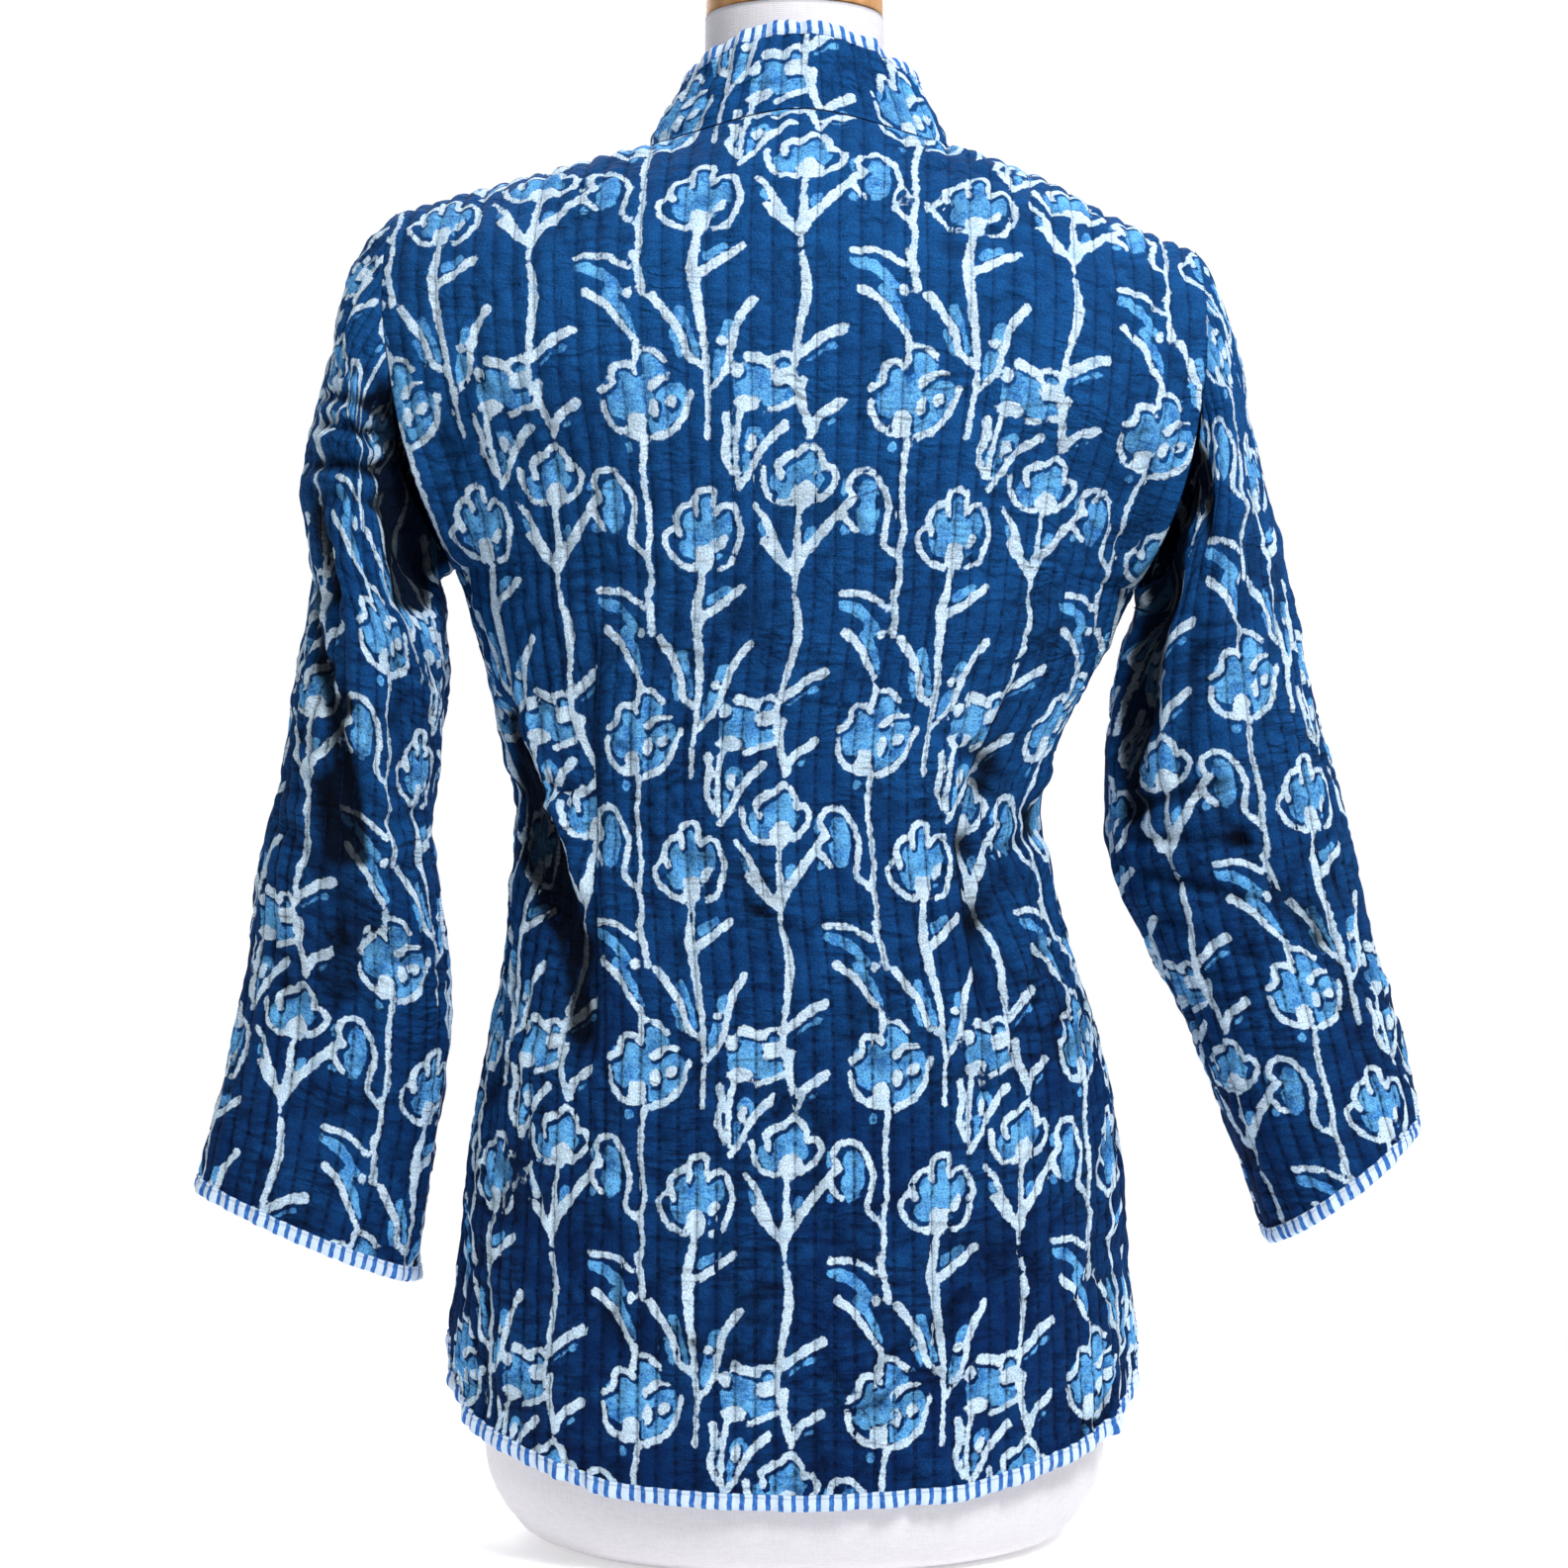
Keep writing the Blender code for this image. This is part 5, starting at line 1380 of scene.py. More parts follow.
def form_half(face, up):
    """One face of the form, from the left arm to the right arm, with even steps across."""
    dense = np.linspace(0, 1, 200)
    fixed = np.linspace(0, 1, FORM_COLUMNS + 1)
    rows = []
    for level in up:
        line = body_point(FORM, face, dense, min(level, 2.0))
        length = length_along(line)
        even = np.interp(fixed * length[-1], length, dense)
        blend = soft_step(level, 1.0, 2.0)
        half = body_point(FORM, face, even * (1 - blend) + fixed * blend, level)
        rows.append(np.concatenate([half[::-1] * (-1, 1, 1), half[1:]]))
    return np.array(rows)


def build_form():
    """The form in linen, closed from its flat base to the top of its neck."""
    armpit = ARMHOLE_MIDDLE - FORM["rise"]
    near_base = np.array([0.0, 0.002, 0.004, 0.007, 0.011, 0.017, 0.024]) / armpit
    hips = np.linspace(0.032, 0.120, 26) / armpit
    rest = np.linspace(0.130, armpit, 50, endpoint=False) / armpit
    armhole_rows, crown = np.linspace(1, 2, 14, endpoint=False), np.linspace(2, 3, 28)
    up = np.concatenate([near_base, hips, rest, armhole_rows, crown])
    back_face = form_half(-1, up)
    front_face = form_half(1, up)[:, ::-1]
    rings = posture(np.concatenate([back_face, front_face], axis=1))
    count = rings.shape[1]
    numbers = np.arange(rings.shape[0] * count).reshape(-1, count)
    closed = np.concatenate([numbers, numbers[:, :1]], axis=1)
    points = rings.reshape(-1, 3)
    shell, _ = cells(closed)

    neck_columns = math.ceil(FORM["neck_half"] / FORM["top_width"] * FORM_COLUMNS)
    back_middle = FORM_COLUMNS
    front_middle = 3 * FORM_COLUMNS + 1
    back_part = closed[-1, back_middle - neck_columns : back_middle + neck_columns + 1]
    front_part = closed[-1, front_middle - neck_columns + 1 : front_middle + neck_columns]
    seam_numbers = np.concatenate([back_part, front_part])
    seam = points[seam_numbers]
    angle = np.arctan2(seam[:, 1] - FORM_NECK_CENTRE, seam[:, 0])
    levels = [seam]
    for share, height, grow in FORM_NECK:
        radius = FORM_NECK_RADIUS * grow
        ring = np.stack([radius * np.cos(angle), FORM_NECK_CENTRE + radius * np.sin(angle)], axis=1)
        ring = np.concatenate([ring, np.full((len(ring), 1), height)], axis=1)
        ring = seam * (1 - share) + ring * share
        ring[:, 2] = height if share == 1.0 else (seam[:, 2] + height) / 2
        levels.append(ring)
    neck = between_rings(np.array(levels), FORM_NECK_ROWS)[1:]
    first = len(points)
    neck_numbers = first + np.arange(neck.shape[0] * neck.shape[1]).reshape(neck.shape[:2])
    points = np.concatenate([points, neck.reshape(-1, 3)])
    neck_grid = np.concatenate([seam_numbers[None], neck_numbers])
    neck_shell, _ = cells(np.concatenate([neck_grid, neck_grid[:, :1]], axis=1))
    top, base = len(points), len(points) + 1
    points = np.concatenate([points, [[0, FORM_NECK_CENTRE, FORM_NECK_TOP], [0, 0, 0]]])
    triangles = [shell, neck_shell]
    for ring, centre in ((neck_grid[-1], top), (numbers[0], base)):
        triangles.append(np.stack([ring, np.roll(ring, -1), np.full(len(ring), centre)], axis=1))
    axis_point = points * (0, 0, 1)
    axis_point[:, 2] = np.clip(points[:, 2], 0.1, 0.6)
    axis_point[first:top, 2] = points[first:top, 2]
    axis_point[first:top, 1] = FORM_NECK_CENTRE
    outward = points - axis_point
    triangles = [facing(points, part, outward) for part in triangles]
    return new_mesh("form_linen", points, np.concatenate(triangles))[0]


form = build_form()
print("form faces:", len(form.data.polygons))


# %% Turn the cap
def build_cap():
    """The turned cap, from its lower edge to its crown."""
    profile = np.array(CAP_PROFILE + ((0.0, CAP_HEIGHT),))
    keys = np.arange(len(profile), dtype=float)
    fine = smooth_through(keys, profile, np.linspace(0, len(profile) - 1, 43))
    fine[:, 0] = np.clip(fine[:, 0], 0.0, 1.0)
    fine[-1, 0] = 0.0
    fine = np.concatenate([[[0.0, 0.0]], fine])
    turn = np.radians(np.arange(0, 361, 5))
    turn[-1] = 0.0
    radius = CAP_RADIUS * fine[:, :1]
    height = FORM_NECK_TOP + SEAM_GAP + fine[:, 1:]
    x = radius * np.cos(turn)
    y = FORM_NECK_CENTRE + radius * np.sin(turn)
    grid = np.stack([x, y, np.broadcast_to(height, x.shape)], axis=-1)
    points = grid.reshape(-1, 3)
    triangles, _ = cells(np.arange(len(points)).reshape(x.shape))
    middle = np.array([0, FORM_NECK_CENTRE, FORM_NECK_TOP + CAP_HEIGHT / 2])
    triangles = facing(points, triangles, points - middle)
    return new_mesh("form_cap", points, triangles)[0]


cap = build_cap()
print("cap faces:", len(cap.data.polygons))

# %% [markdown]
# ## Sewing the rows
#
# Each row is a running stitch in dark thread. A stitch is a short spindle of thread that dips into
# the cloth at both ends. Geometry Nodes lays one stitch after another along each row: it walks the
# row in even steps, turns a stitch along the way and makes it real. The stitch's length, its step and
# the thread are inputs of the tree, so one change is followed by every row of every piece.

# %% Trace the rows and lay the stitches
STITCH_LENGTH = 0.0026
STITCH_STEP = 0.0042
STITCH_UNEVENNESS = 0.12
THREAD_HALF = 0.00022
ROW_SINK = 0.0001
DART_GAP = 0.0008


def row_lines(piece):
    """The lines of a piece that the rows of stitches follow."""
    lines = []
    lifted = piece["outer"] - piece["normal"] * ROW_SINK
    for number, column in enumerate(piece["columns"]):
        if round(column / (PITCH / STEPS_PER_CHANNEL)) % STEPS_PER_CHANNEL:
            continue
        on_cloth = (column > piece["low"][:, 0] + PITCH / 8) & (column < piece["high"][:, 0] - PITCH / 8)
        for legs in piece["cuts"]:
            on_cloth &= ~((column > legs[:, 0] - DART_GAP) & (column < legs[:, 1] + DART_GAP))
        ends = np.flatnonzero(np.diff(np.concatenate([[False], on_cloth, [False]]).astype(int)))
        for start, end in zip(ends[::2], ends[1::2]):
            if end - start > 4:
                lines.append(lifted[start:end, number])
    return lines


def lines_object(name, lines):
    """Many lines as one object of edges."""
    mesh = bpy.data.meshes.new(name)
    edges, first = [], 0
    for line in lines:
        edges += [(first + i, first + i + 1) for i in range(len(line) - 1)]
        first += len(line)
    mesh.from_pydata(np.concatenate(lines).tolist(), edges, [])
    return add_object(name, mesh)


print("lines to sew on the back:", len(row_lines(cloth["back"])))


# %% The tree that lays the stitches
def stitch_tree(material):
    """The node tree that turns lines into running stitches."""
    tree = bpy.data.node_groups.new("running stitch", "GeometryNodeTree")
    tree.interface.new_socket("Lines", in_out="INPUT", socket_type="NodeSocketGeometry")
    for title, value in (
        ("Stitch length", STITCH_LENGTH),
        ("Stitch step", STITCH_STEP),
        ("Thread thickness", THREAD_HALF * 2),
        ("Unevenness", STITCH_UNEVENNESS),
    ):
        socket = tree.interface.new_socket(title, in_out="INPUT", socket_type="NodeSocketFloat")
        socket.default_value = value
    seed = tree.interface.new_socket("Seed", in_out="INPUT", socket_type="NodeSocketInt")
    seed.default_value = 3
    tree.interface.new_socket("Stitches", in_out="OUTPUT", socket_type="NodeSocketGeometry")
    nodes = tree.nodes
    given = nodes.new("NodeGroupInput")
    result = nodes.new("NodeGroupOutput")
    curve = nodes.new("GeometryNodeMeshToCurve")
    even = nodes.new("GeometryNodeResampleCurve")
    even.mode = "LENGTH"
    # One stitch of length and thickness 1: two open cones, base to base
    spindle = nodes.new("GeometryNodeMeshCone")
    spindle.fill_type = "NONE"
    for title, value in (("Vertices", 4), ("Radius Top", 0.0), ("Radius Bottom", 0.5), ("Depth", 0.5)):
        spindle.inputs[title].default_value = value
    other = nodes.new("GeometryNodeTransform")
    other.inputs["Rotation"].default_value = (math.pi, 0, 0)
    both = nodes.new("GeometryNodeJoinGeometry")
    merge = nodes.new("GeometryNodeMergeByDistance")
    # Its length is a little uneven, and its size and turn are given where it is laid
    chance = nodes.new("FunctionNodeRandomValue")
    chance.data_type = "FLOAT"
    sums = {}
    for operation in ("SUBTRACT", "ADD", "MULTIPLY"):
        sums[operation] = nodes.new("ShaderNodeMath")
        sums[operation].operation = operation
        sums[operation].inputs[0].default_value = 1.0
    size = nodes.new("ShaderNodeCombineXYZ")
    tangent = nodes.new("GeometryNodeInputTangent")
    align = nodes.new("FunctionNodeAlignRotationToVector")
    align.axis = "Z"
    lay = nodes.new("GeometryNodeInstanceOnPoints")
    real = nodes.new("GeometryNodeRealizeInstances")
    finish = nodes.new("GeometryNodeSetMaterial")
    finish.inputs["Material"].default_value = material
    for source, output, target, socket in (
        (given, "Lines", curve, "Mesh"),
        (curve, "Curve", even, "Curve"),
        (given, "Stitch step", even, "Length"),
        (spindle, "Mesh", both, "Geometry"),
        (spindle, "Mesh", other, "Geometry"),
        (other, "Geometry", both, "Geometry"),
        (both, "Geometry", merge, "Geometry"),
        (tangent, "Tangent", align, "Vector"),
        (given, "Unevenness", sums["SUBTRACT"], 1),
        (given, "Unevenness", sums["ADD"], 1),
        (sums["SUBTRACT"], "Value", chance, 2),
        (sums["ADD"], "Value", chance, 3),
        (given, "Seed", chance, "Seed"),
        (chance, 1, sums["MULTIPLY"], 0),
        (given, "Stitch length", sums["MULTIPLY"], 1),
        (given, "Thread thickness", size, "X"),
        (given, "Thread thickness", size, "Y"),
        (sums["MULTIPLY"], "Value", size, "Z"),
        (even, "Curve", lay, "Points"),
        (merge, "Geometry", lay, "Instance"),
        (align, "Rotation", lay, "Rotation"),
        (size, "Vector", lay, "Scale"),
        (lay, "Instances", real, "Geometry"),
        (real, "Geometry", finish, "Geometry"),
        (finish, "Geometry", result, "Stitches"),
    ):
        tree.links.new(source.outputs[output], target.inputs[socket])
    return tree


def sew_rows(name, lines, tree, seed):
    """The stitches of one piece as a plain mesh."""
    target = lines_object(name, lines)
    modifier = target.modifiers.new("stitches", "NODES")
    modifier.node_group = tree
    sockets = {item.name: item.identifier for item in tree.interface.items_tree if item.in_out == "INPUT"}
    modifier[sockets["Stitch step"]] = STITCH_STEP
    modifier[sockets["Seed"]] = seed
    graph = bpy.context.evaluated_depsgraph_get()
    baked = bpy.data.meshes.new_from_object(target.evaluated_get(graph))
    target.modifiers.remove(modifier)
    target.data = baked
    baked.shade_smooth()
    return target


print("stitches in a metre of row:", round(1 / STITCH_STEP))

# %% [markdown]
# ## Materials
#
# Each material is worked out by its nodes and reads the place in the cloth, never the picture. A
# material of many nodes is easier to read when each kind of node has a short name of its own, so a
# small class adds them one at a time: noise, ramps, sums and mixes.

# %% Small helpers for shader nodes
def srgb(red, green, blue):
    """A colour as seen on screen, 0 to 255, as the light that it stands for."""
    values = np.array([red, green, blue]) / 255
    light = np.where(values <= 0.04045, values / 12.92, ((values + 0.055) / 1.055) ** 2.4)
    return (*[float(value) for value in light], 1.0)


SHINE = 0.08


class Shader:
    """A material's nodes, added one at a time."""

    def __init__(self, name, roughness, sheen=0.0):
        self.material = bpy.data.materials.new(name)
        self.material.use_nodes = True
        self.tree = self.material.node_tree
        self.surface = self.tree.nodes["Principled BSDF"]
        self.surface.inputs["Roughness"].default_value = roughness
        self.surface.inputs["Sheen Weight"].default_value = sheen
        self.surface.inputs["Specular IOR Level"].default_value = SHINE

    def add(self, kind):
        """A new node."""
        return self.tree.nodes.new("ShaderNode" + kind)

    def join(self, source, target):
        """A link between two sockets."""
        self.tree.links.new(source, target)

    def node(self, kind, output, **inputs):
        """One output of a new node with its inputs filled."""
        made = self.add(kind)
        self.fill(made, inputs)
        return made.outputs[output]

    def fill(self, made, inputs):
        """Sets or links inputs by name; _2 stands for the input of that number."""
        for key, value in inputs.items():
            socket = made.inputs[int(key[1:])] if key[0] == "_" else made.inputs[key.replace("_", " ")]
            if isinstance(value, bpy.types.NodeSocket):
                self.join(value, socket)
            else:
                socket.default_value = value

    def attribute(self, name):
        """A number that the cloth carries at the corners of its faces."""
        made = self.add("Attribute")
        made.attribute_name = name
        return made.outputs["Fac"]

    def cloth_map(self):
        """The place in the flat cloth: X across the grain and Y along it."""
        made = self.add("UVMap")
        made.uv_map = "cloth"
        return made.outputs["UV"]

    def object_place(self):
        """The place in the room, in metres."""
        return self.add("TexCoord").outputs["Object"]

    def split(self, vector):
        """The X, Y and Z of a place."""
        made = self.add("SeparateXYZ")
        self.fill(made, {"Vector": vector})
        return made.outputs

    def scaled(self, vector, x, y, z=1.0):
        """A place with each direction stretched on its own."""
        made = self.add("Mapping")
        self.fill(made, {"Scale": (x, y, z), "Vector": vector})
        return made.outputs["Vector"]

    def noise(self, vector, scale, detail=2.0, rough=0.5):
        """Cloudy noise from 0 to 1."""
        return self.node("TexNoise", "Fac", Vector=vector, Scale=scale, Detail=detail, Roughness=rough)

    def math(self, operation, first, second=0.0, third=0.0):
        """A sum worked out with numbers or sockets."""
        made = self.add("Math")
        made.operation = operation
        self.fill(made, {"_0": first, "_1": second, "_2": third})
        return made.outputs["Value"]

    def ramp(self, value, low, high, to_low=0.0, to_high=1.0):
        """A smooth rise from one level to another as the value goes from low to high."""
        made = self.add("MapRange")
        made.interpolation_type = "SMOOTHSTEP"
        ends = {"From Min": low, "From Max": high, "To Min": to_low, "To Max": to_high}
        self.fill(made, {"Value": value, **ends})
        return made.outputs["Result"]

    def thin_line(self, vector, half_width, place, patches):
        """Thin wandering lines where a noise crosses its middle, strong in some patches only."""
        away = self.math("ABSOLUTE", self.math("SUBTRACT", self.noise(vector, 1.0, 1.0), 0.5))
        line = self.ramp(away, half_width, 0.0)
        return self.math("MULTIPLY", line, self.ramp(self.noise(place, patches), 0.46, 0.66))

    def mix(self, factor, first, second, blend="MIX"):
        """Two colours blended."""
        made = self.add("Mix")
        made.data_type = "RGBA"
        made.blend_type = blend
        self.fill(made, {"_0": factor, "_6": first, "_7": second})
        return made.outputs[2]

    def bump(self, height, distance, strength=1.0):
        """Fine relief on the surface."""
        made = self.add("Bump")
        self.fill(made, {"Strength": strength, "Distance": distance, "Height": height})
        self.join(made.outputs["Normal"], self.surface.inputs["Normal"])

    def colour(self, value):
        """Gives the surface its colour and hands over the finished material."""
        self.join(value, self.surface.inputs["Base Color"])
        return self.material


print("indigo as light:", [round(value, 3) for value in srgb(22, 82, 144)[:3]])

# %% [markdown]
# ## The printed cotton
#
# The cotton turns the two distances into ink with ragged edges: the dye creeps along the threads, the
# mid-blue is pressed unevenly, and the ground is lighter towards the shoulders and in rubbed patches.
# Painted shade darkens the colour along the rows, in the dimples, creases, ripples and folds, but less
# over the shoulders, where the form pulls the cloth smooth.

# %% Ground and inks
GROUND = srgb(22, 82, 144)
GROUND_DEEP = srgb(5, 40, 90)
# The colour of the painted shade in the ripples of the ground
PAINTED_RIPPLE_SHADE = srgb(3, 24, 62)
PALE = srgb(208, 231, 250)
PALE_STAINED = srgb(178, 210, 238)
MID_BLUE = srgb(110, 188, 246)
MID_BLUE_DEEP = srgb(48, 116, 192)
THREAD = srgb(14, 34, 78)


def ground_and_ripple_shade(shader, place, height, patchy, ripple):
    """Indigo, lighter towards the shoulders and in rubbed patches, with painted shade in the ripples."""
    cloudy = shader.noise(place, 14.0, 3.0)
    # How light the ground is: more towards the shoulders, and more or less in random patches
    ground_lightness = shader.ramp(height, -0.06, 0.66, 0.0, 0.85)
    ground_lightness = shader.math("ADD", ground_lightness, shader.ramp(cloudy, 0.25, 0.75, -0.22, 0.22))
    ground_lightness = shader.math("ADD", ground_lightness, shader.ramp(patchy, 0.35, 0.75, -0.10, 0.25))
    ground_lightness.node.use_clamp = True
    ground = shader.mix(ground_lightness, GROUND_DEEP, GROUND)
    # Painted shade: the ground darkens in the ripples
    return shader.mix(shader.math("MULTIPLY", ripple, 0.6), ground, PAINTED_RIPPLE_SHADE)


def inks(shader, place, height, ripple):
    """The colour of the print on its ground, and where its lines are pale."""
    ragged = shader.noise(place, 620.0, 3.0, 0.6)
    lumpy = shader.noise(place, 260.0, 1.0)
    patchy = shader.noise(place, 95.0, 4.0, 0.6)
    wobble = shader.math("MULTIPLY_ADD", ragged, 1.0, -0.5)
    wobble = shader.math("ADD", wobble, shader.math("MULTIPLY_ADD", lumpy, 2.4, -1.2))
    pale = shader.ramp(shader.math("ADD", shader.attribute("pale"), wobble), 0.52, -0.12)
    blue = shader.ramp(shader.math("ADD", shader.attribute("blue"), wobble), 0.45, -0.25)
    ground = ground_and_ripple_shade(shader, place, height, patchy, ripple)
    uneven = shader.ramp(shader.math("ADD", patchy, ragged), 0.76, 1.16)
    fill = shader.mix(uneven, MID_BLUE_DEEP, MID_BLUE)
    fill = shader.mix(shader.ramp(ragged, 0.56, 0.72, 0.0, 0.8), fill, ground)
    line = shader.mix(shader.ramp(patchy, 0.45, 0.75), PALE, PALE_STAINED)
    return shader.mix(pale, shader.mix(blue, ground, fill), line), pale


print("mid-blue as light:", [round(value, 3) for value in MID_BLUE[:3]])


# %% Painted shade, relief and the finished cotton
def light_left(shader, place, rows, creases, taut, pale):
    """The share of the light that rows, dimples, creases and folds leave, painted into the colour, times
    a fine random grain.
    """
    # Painted shade along each row's groove and in the dimples beside it
    groove = shader.ramp(rows, 0.0018, 0.0002)
    dimples = shader.ramp(shader.noise(shader.scaled(place, 105, 290), 1.0, 1.0), 0.46, 0.60)
    dimple = shader.math("MULTIPLY", dimples, shader.ramp(rows, 0.0013, 0.0004))
    light = shader.math("MULTIPLY_ADD", groove, -0.16, 1.0)
    for mark, depth in ((dimple, -0.62), *creases):
        light = shader.math("MULTIPLY", light, shader.math("MULTIPLY_ADD", mark, depth, 1.0))
    light = shader.math("MULTIPLY_ADD", shader.math("SUBTRACT", light, 1.0), taut, 1.0)
    # The painted shade carried by the cloth: creases, rows, darts and deep folds
    shade = shader.attribute("shade")
    light = shader.math("MULTIPLY", light, shader.math("MULTIPLY_ADD", shade, -0.96, 1.0))
    # Pale lines keep part of their brightness under the painted shade of creases, but none in deep folds
    pale_lift = shader.math("MULTIPLY", pale, shader.ramp(shade, 0.5, 0.9, 0.4, 0.0))
    pale_lift = shader.math("MULTIPLY", pale_lift, shader.math("SUBTRACT", 1.0, light))
    grain = shader.ramp(shader.noise(place, 1100.0, 3.0, 0.7), 0.30, 0.72, 0.62, 1.36)
    return shader.math("MULTIPLY", shader.math("ADD", light, pale_lift), grain)


def cotton_relief(shader, place, lines, ripple):
    """The height of the weave, the slubs, the creases and the ripples."""
    threads = shader.scaled(place, 1, 0)
    warp = shader.node("TexWave", "Fac", Vector=threads, Scale=520.0, Distortion=0.6)
    weft = shader.noise(shader.scaled(place, 90, 1500), 1.0, 2.0)
    slub = shader.noise(shader.scaled(place, 1500, 110), 1.0, 2.0)
    height = shader.math("ADD", shader.math("MULTIPLY", warp, 0.25), shader.math("ADD", weft, slub))
    height = shader.math("ADD", height, shader.math("MULTIPLY", shader.noise(place, 380.0, 3.0), 3.0))
    height = shader.math("MULTIPLY_ADD", lines, -2.8, height)
    return shader.math("MULTIPLY_ADD", ripple, -1.6, height)


def printed_cotton():
    """Indigo cotton with pale lines, mid-blue fills and the rows of quilting."""
    shader = Shader("printed cotton", 0.9)
    place = shader.cloth_map()
    height = shader.split(shader.object_place())["Z"]
    # Weaker towards the shoulders, where the form pulls the cloth smooth: scales the painted shade and
    # the ripples
    taut = shader.ramp(height, 0.25, 0.66, 1.06, 0.5)
    # Fine ripples across the channels: dents in the bump and painted shade in the ground
    ripple = shader.ramp(shader.noise(shader.scaled(place, 50, 270), 1.0, 2.0), 0.53, 0.36)
    rumpled = shader.ramp(shader.noise(place, 28.0), 0.38, 0.62, 0.3, 1.0)
    ripple = shader.math("MULTIPLY", ripple, shader.math("MULTIPLY", rumpled, taut))
    # Thin crease lines: dents in the bump and painted shade in the colour
    sweep = shader.thin_line(shader.scaled(place, 28, 74), 0.075, place, 26.0)
    pucker = shader.thin_line(shader.scaled(place, 72, 150), 0.115, place, 44.0)
    colour, pale = inks(shader, place, height, ripple)
    rows = shader.math("PINGPONG", shader.split(place)["X"], PITCH / 2)
    light = light_left(shader, place, rows, ((sweep, -0.34), (pucker, -0.20)), taut, pale)
    # The painted shade darkens the colour
    tint = shader.node("CombineXYZ", "Vector", X=light, Y=light, Z=light)
    colour = shader.mix(1.0, colour, tint, "MULTIPLY")
    # A thin dark line down each row in the thread's colour: the thread's own colour and painted shade in
    # the row's groove
    thread = shader.ramp(rows, 0.00045, 0.00022)
    colour = shader.mix(shader.math("MULTIPLY", thread, 0.35), colour, THREAD)
    lines = shader.math("ADD", sweep, pucker)
    shader.bump(cotton_relief(shader, place, lines, ripple), 0.00035, 1.0)
    return shader.colour(colour)


cotton = printed_cotton()
print(cotton.name, "nodes:", len(cotton.node_tree.nodes))

# %% [markdown]
# ## The other materials
#
# The binding's blue bars follow the strip's own length, so they turn every corner with it. Under the
# jacket are plain linen, whose weave is bump, and a light wood with rings.

# %% The striped binding, the thread, the linen and the wood
STRIPE_PITCH = 0.0061
STRIPE_PALE = srgb(208, 226, 246)
STRIPE_BLUE = srgb(36, 92, 172)
STRIPE_FADED = srgb(72, 134, 206)
BAR_EDGE = (0.00135, 0.00105)
SEWN_LINE = 0.0014
THREAD_WORN = srgb(34, 62, 118)
LINEN = srgb(230, 227, 232)
LINEN_SHADE = srgb(217, 215, 221)
WOOD = srgb(205, 155, 105)
WOOD_DARK = srgb(168, 116, 70)


def striped_cotton():
    """Pale cotton with blue bars across the strip."""
    shader = Shader("striped binding", 0.8, 0.1)
    place = shader.cloth_map()
    flat = shader.split(place)
    wander = shader.math("MULTIPLY", shader.noise(shader.scaled(place, 60, 260), 1.0, 2.0), 0.0016)
    along = shader.math("ADD", flat["X"], wander)
    bars = shader.math("PINGPONG", along, STRIPE_PITCH / 2)
    bar = shader.ramp(bars, *BAR_EDGE)
    faded = shader.noise(place, 400.0, 3.0)
    blue = shader.mix(shader.ramp(faded, 0.35, 0.75), STRIPE_BLUE, STRIPE_FADED)
    colour = shader.mix(bar, STRIPE_PALE, blue)
    off_seam = shader.math("ABSOLUTE", shader.math("SUBTRACT", flat["Y"], SEWN_LINE))
    near = shader.ramp(off_seam, 0.0006, 0.0002)
    colour = shader.mix(shader.math("MULTIPLY", near, 0.25), colour, THREAD)
    shader.bump(shader.noise(shader.scaled(place, 1400, 1400), 1.0, 2.0), 0.0002, 0.5)
    return shader.colour(colour)


def dark_thread():
    """Indigo sewing thread."""
    shader = Shader("quilting thread", 0.7)
    twist = shader.noise(shader.object_place(), 1800.0, 2.0)
    return shader.colour(shader.mix(twist, THREAD, THREAD_WORN))


def linen():
    """White linen with a fine even weave."""
    shader = Shader("linen", 0.9, 0.1)
    place = shader.object_place()
    upright = shader.scaled(place, 0, 0, 1)
    across = shader.node("TexWave", "Fac", Vector=upright, Scale=330.0, Distortion=0.4)
    across.node.bands_direction = "Z"
    along = shader.noise(shader.scaled(place, 1100, 1100, 90), 1.0, 2.0)
    cross = shader.noise(shader.scaled(place, 160, 160, 1100), 1.0, 2.0)
    weave = shader.math("ADD", shader.math("MULTIPLY", across, 0.5), shader.math("ADD", along, cross))
    colour = shader.mix(shader.ramp(weave, 0.75, 1.55), LINEN_SHADE, LINEN)
    shader.bump(weave, 0.00022, 0.5)
    return shader.colour(colour)


def turned_wood():
    """Light wood with rings round the middle of the cap."""
    shader = Shader("turned wood", 0.45)
    place = shader.object_place()
    grain = shader.node("TexWave", "Fac", Vector=place, Scale=38.0, Distortion=3.0, Detail=3.0)
    fine = shader.noise(shader.scaled(place, 900, 60, 900), 1.0, 3.0)
    colour = shader.mix(shader.math("MULTIPLY", grain, 0.5), WOOD, WOOD_DARK)
    colour = shader.mix(shader.ramp(fine, 0.5, 0.8, 0.0, 0.4), colour, WOOD_DARK)
    shader.bump(fine, 0.0002, 0.3)
    return shader.colour(colour)


striped = striped_cotton()
for target in cloth_objects.values():
    target.data.materials.append(cotton)
for strip_object, _ in bindings.values():
    strip_object.data.materials.append(striped)
form.data.materials.append(linen())
cap.data.materials.append(turned_wood())
print("materials:", len(bpy.data.materials))

# %% Sew every row
tree = stitch_tree(dark_thread())
stitches = {}
for number, (name, piece) in enumerate(cloth.items()):
    stitches[name] = sew_rows(name + "_stitches", row_lines(piece), tree, number)
    print(stitches[name].name, "faces:", len(stitches[name].data.polygons))

# %% [markdown]
# ## Fitting the pieces to the model
#
# Every visible piece rides on the model's one body, and the solid of the model that a piece of
# cloth, a binding, the form or the cap stands for is hidden.

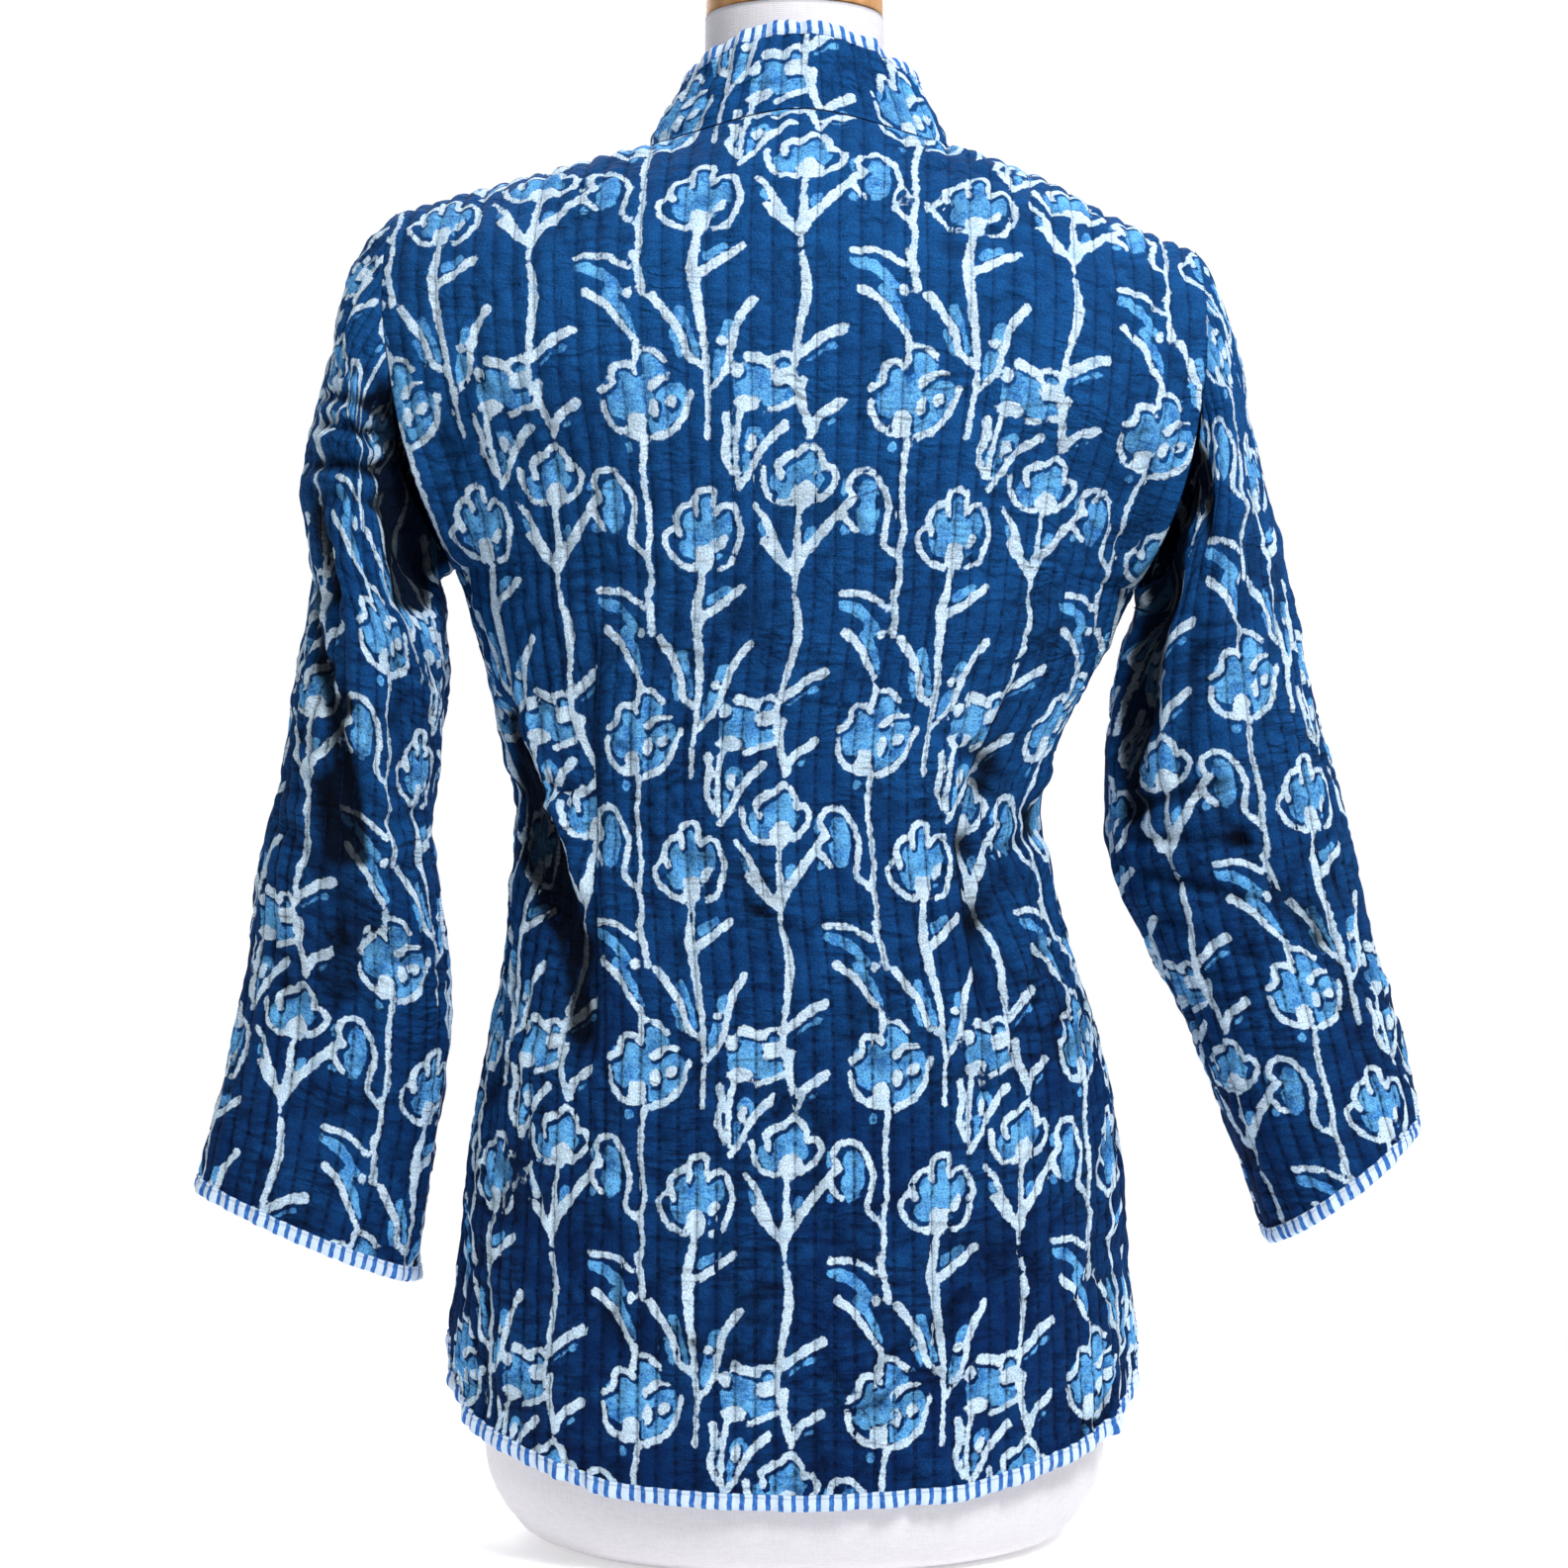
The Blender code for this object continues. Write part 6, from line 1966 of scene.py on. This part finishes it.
BINDING_OF = {
    "back": "binding_hem_back",
    "front_left": "binding_front_left",
    "front_right": "binding_front_right",
    "sleeve_left": "binding_cuff_left",
    "sleeve_right": "binding_cuff_right",
    "collar": "binding_collar",
}
for name, target in cloth_objects.items():
    piece = cloth[name]
    edging, length = bindings[BINDING_OF[name]]
    for part, solid, slot in (
        (target, name, "quilted_cloth"),
        (edging, BINDING_OF[name], "striped_binding"),
        (stitches[name], None, "quilted_cloth"),
    ):
        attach(part, "root")
        if solid:
            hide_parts(solid)
for part, solid, slot in ((form, "dress_form", "linen"), (cap, "neck_cap", "wood")):
    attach(part, "root")
    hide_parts(solid)
print("pieces:", len(cloth_objects) + len(bindings) + len(stitches) + 2)

# %% [markdown]
# ## Light and floor
#
# The photo was made in a white studio: soft light from all round, a little stronger from the upper
# right, and nothing behind the form but white. A white floor throws light back up under the hem.

# %% Set the floor and the lights
FLOOR_RADIUS = 0.70
FLOOR_DROP = 0.0005
FLOOR_GLOW = 0.28
FLOOR_TONES = ((0.93, 0.93, 0.93, 1), (0.95, 0.95, 0.95, 1))
LIGHTS = (
    ("key", (0.8, -1.35, 1.75), 0.6, 46.0),
    ("fill", (-1.9, -1.6, 0.9), 1.8, 3.0),
    ("back", (-0.5, 2.2, 1.9), 2.4, 70.0),
)
LIGHT_AIM = (0.0, 0.0, 0.4)
# The sky's strength at two values of a direction: bright behind the form, and dim low down before it
SKY = (("Y", -0.1, 0.3, 0.08, 1.0), ("Z", 0.20, 0.38, 0.42, 0.0))
floor_mesh = bpy.data.meshes.new("floor")
turn = np.radians(np.arange(0, 360, 5))
rim = [(FLOOR_RADIUS * math.cos(a), FLOOR_RADIUS * math.sin(a), -FLOOR_DROP) for a in turn]
floor_mesh.from_pydata(rim, [], [tuple(range(len(rim)))])
floor = add_object("floor", floor_mesh)
floor_shader = Shader("white floor", 0.9)
floor_tone = floor_shader.noise(floor_shader.object_place(), 3.0, 2.0)
floor_mesh.materials.append(floor_shader.colour(floor_shader.mix(floor_tone, *FLOOR_TONES)))
floor_shader.surface.inputs["Emission Color"].default_value = (1, 1, 1, 1)
floor_shader.surface.inputs["Emission Strength"].default_value = FLOOR_GLOW
print("floor across, m:", 2 * FLOOR_RADIUS)

# %% Hang the lamps and the sky
for title, place, size, power in LIGHTS:
    lamp = bpy.data.lights.new(title, "AREA")
    lamp.size = size
    lamp.energy = power
    holder = add_object(title, lamp)
    holder.location = place
    aim = np.array(LIGHT_AIM) - place
    holder.rotation_euler = (
        math.atan2(math.hypot(aim[0], aim[1]), -aim[2]),
        0.0,
        math.atan2(aim[1], aim[0]) - math.pi / 2,
    )
world = bpy.data.worlds.new("studio")
world.use_nodes = True
sky = world.node_tree
sky.nodes["Background"].inputs["Color"].default_value = (1, 1, 1, 1)
direction = sky.nodes.new("ShaderNodeSeparateXYZ")
sky.links.new(sky.nodes.new("ShaderNodeTexCoord").outputs["Generated"], direction.inputs["Vector"])
parts = []
for axis, low, high, at_low, at_high in SKY:
    part = sky.nodes.new("ShaderNodeMapRange")
    for key, value in (("From Min", low), ("From Max", high), ("To Min", at_low), ("To Max", at_high)):
        part.inputs[key].default_value = value
    sky.links.new(direction.outputs[axis], part.inputs["Value"])
    parts.append(part.outputs["Result"])
brighter = sky.nodes.new("ShaderNodeMath")
brighter.operation = "MAXIMUM"
sky.links.new(parts[0], brighter.inputs[0])
sky.links.new(parts[1], brighter.inputs[1])
sky.links.new(brighter.outputs["Value"], sky.nodes["Background"].inputs["Strength"])
bpy.context.scene.world = world
bpy.context.scene.view_settings.view_transform = "Standard"
print("lamps:", len(LIGHTS))
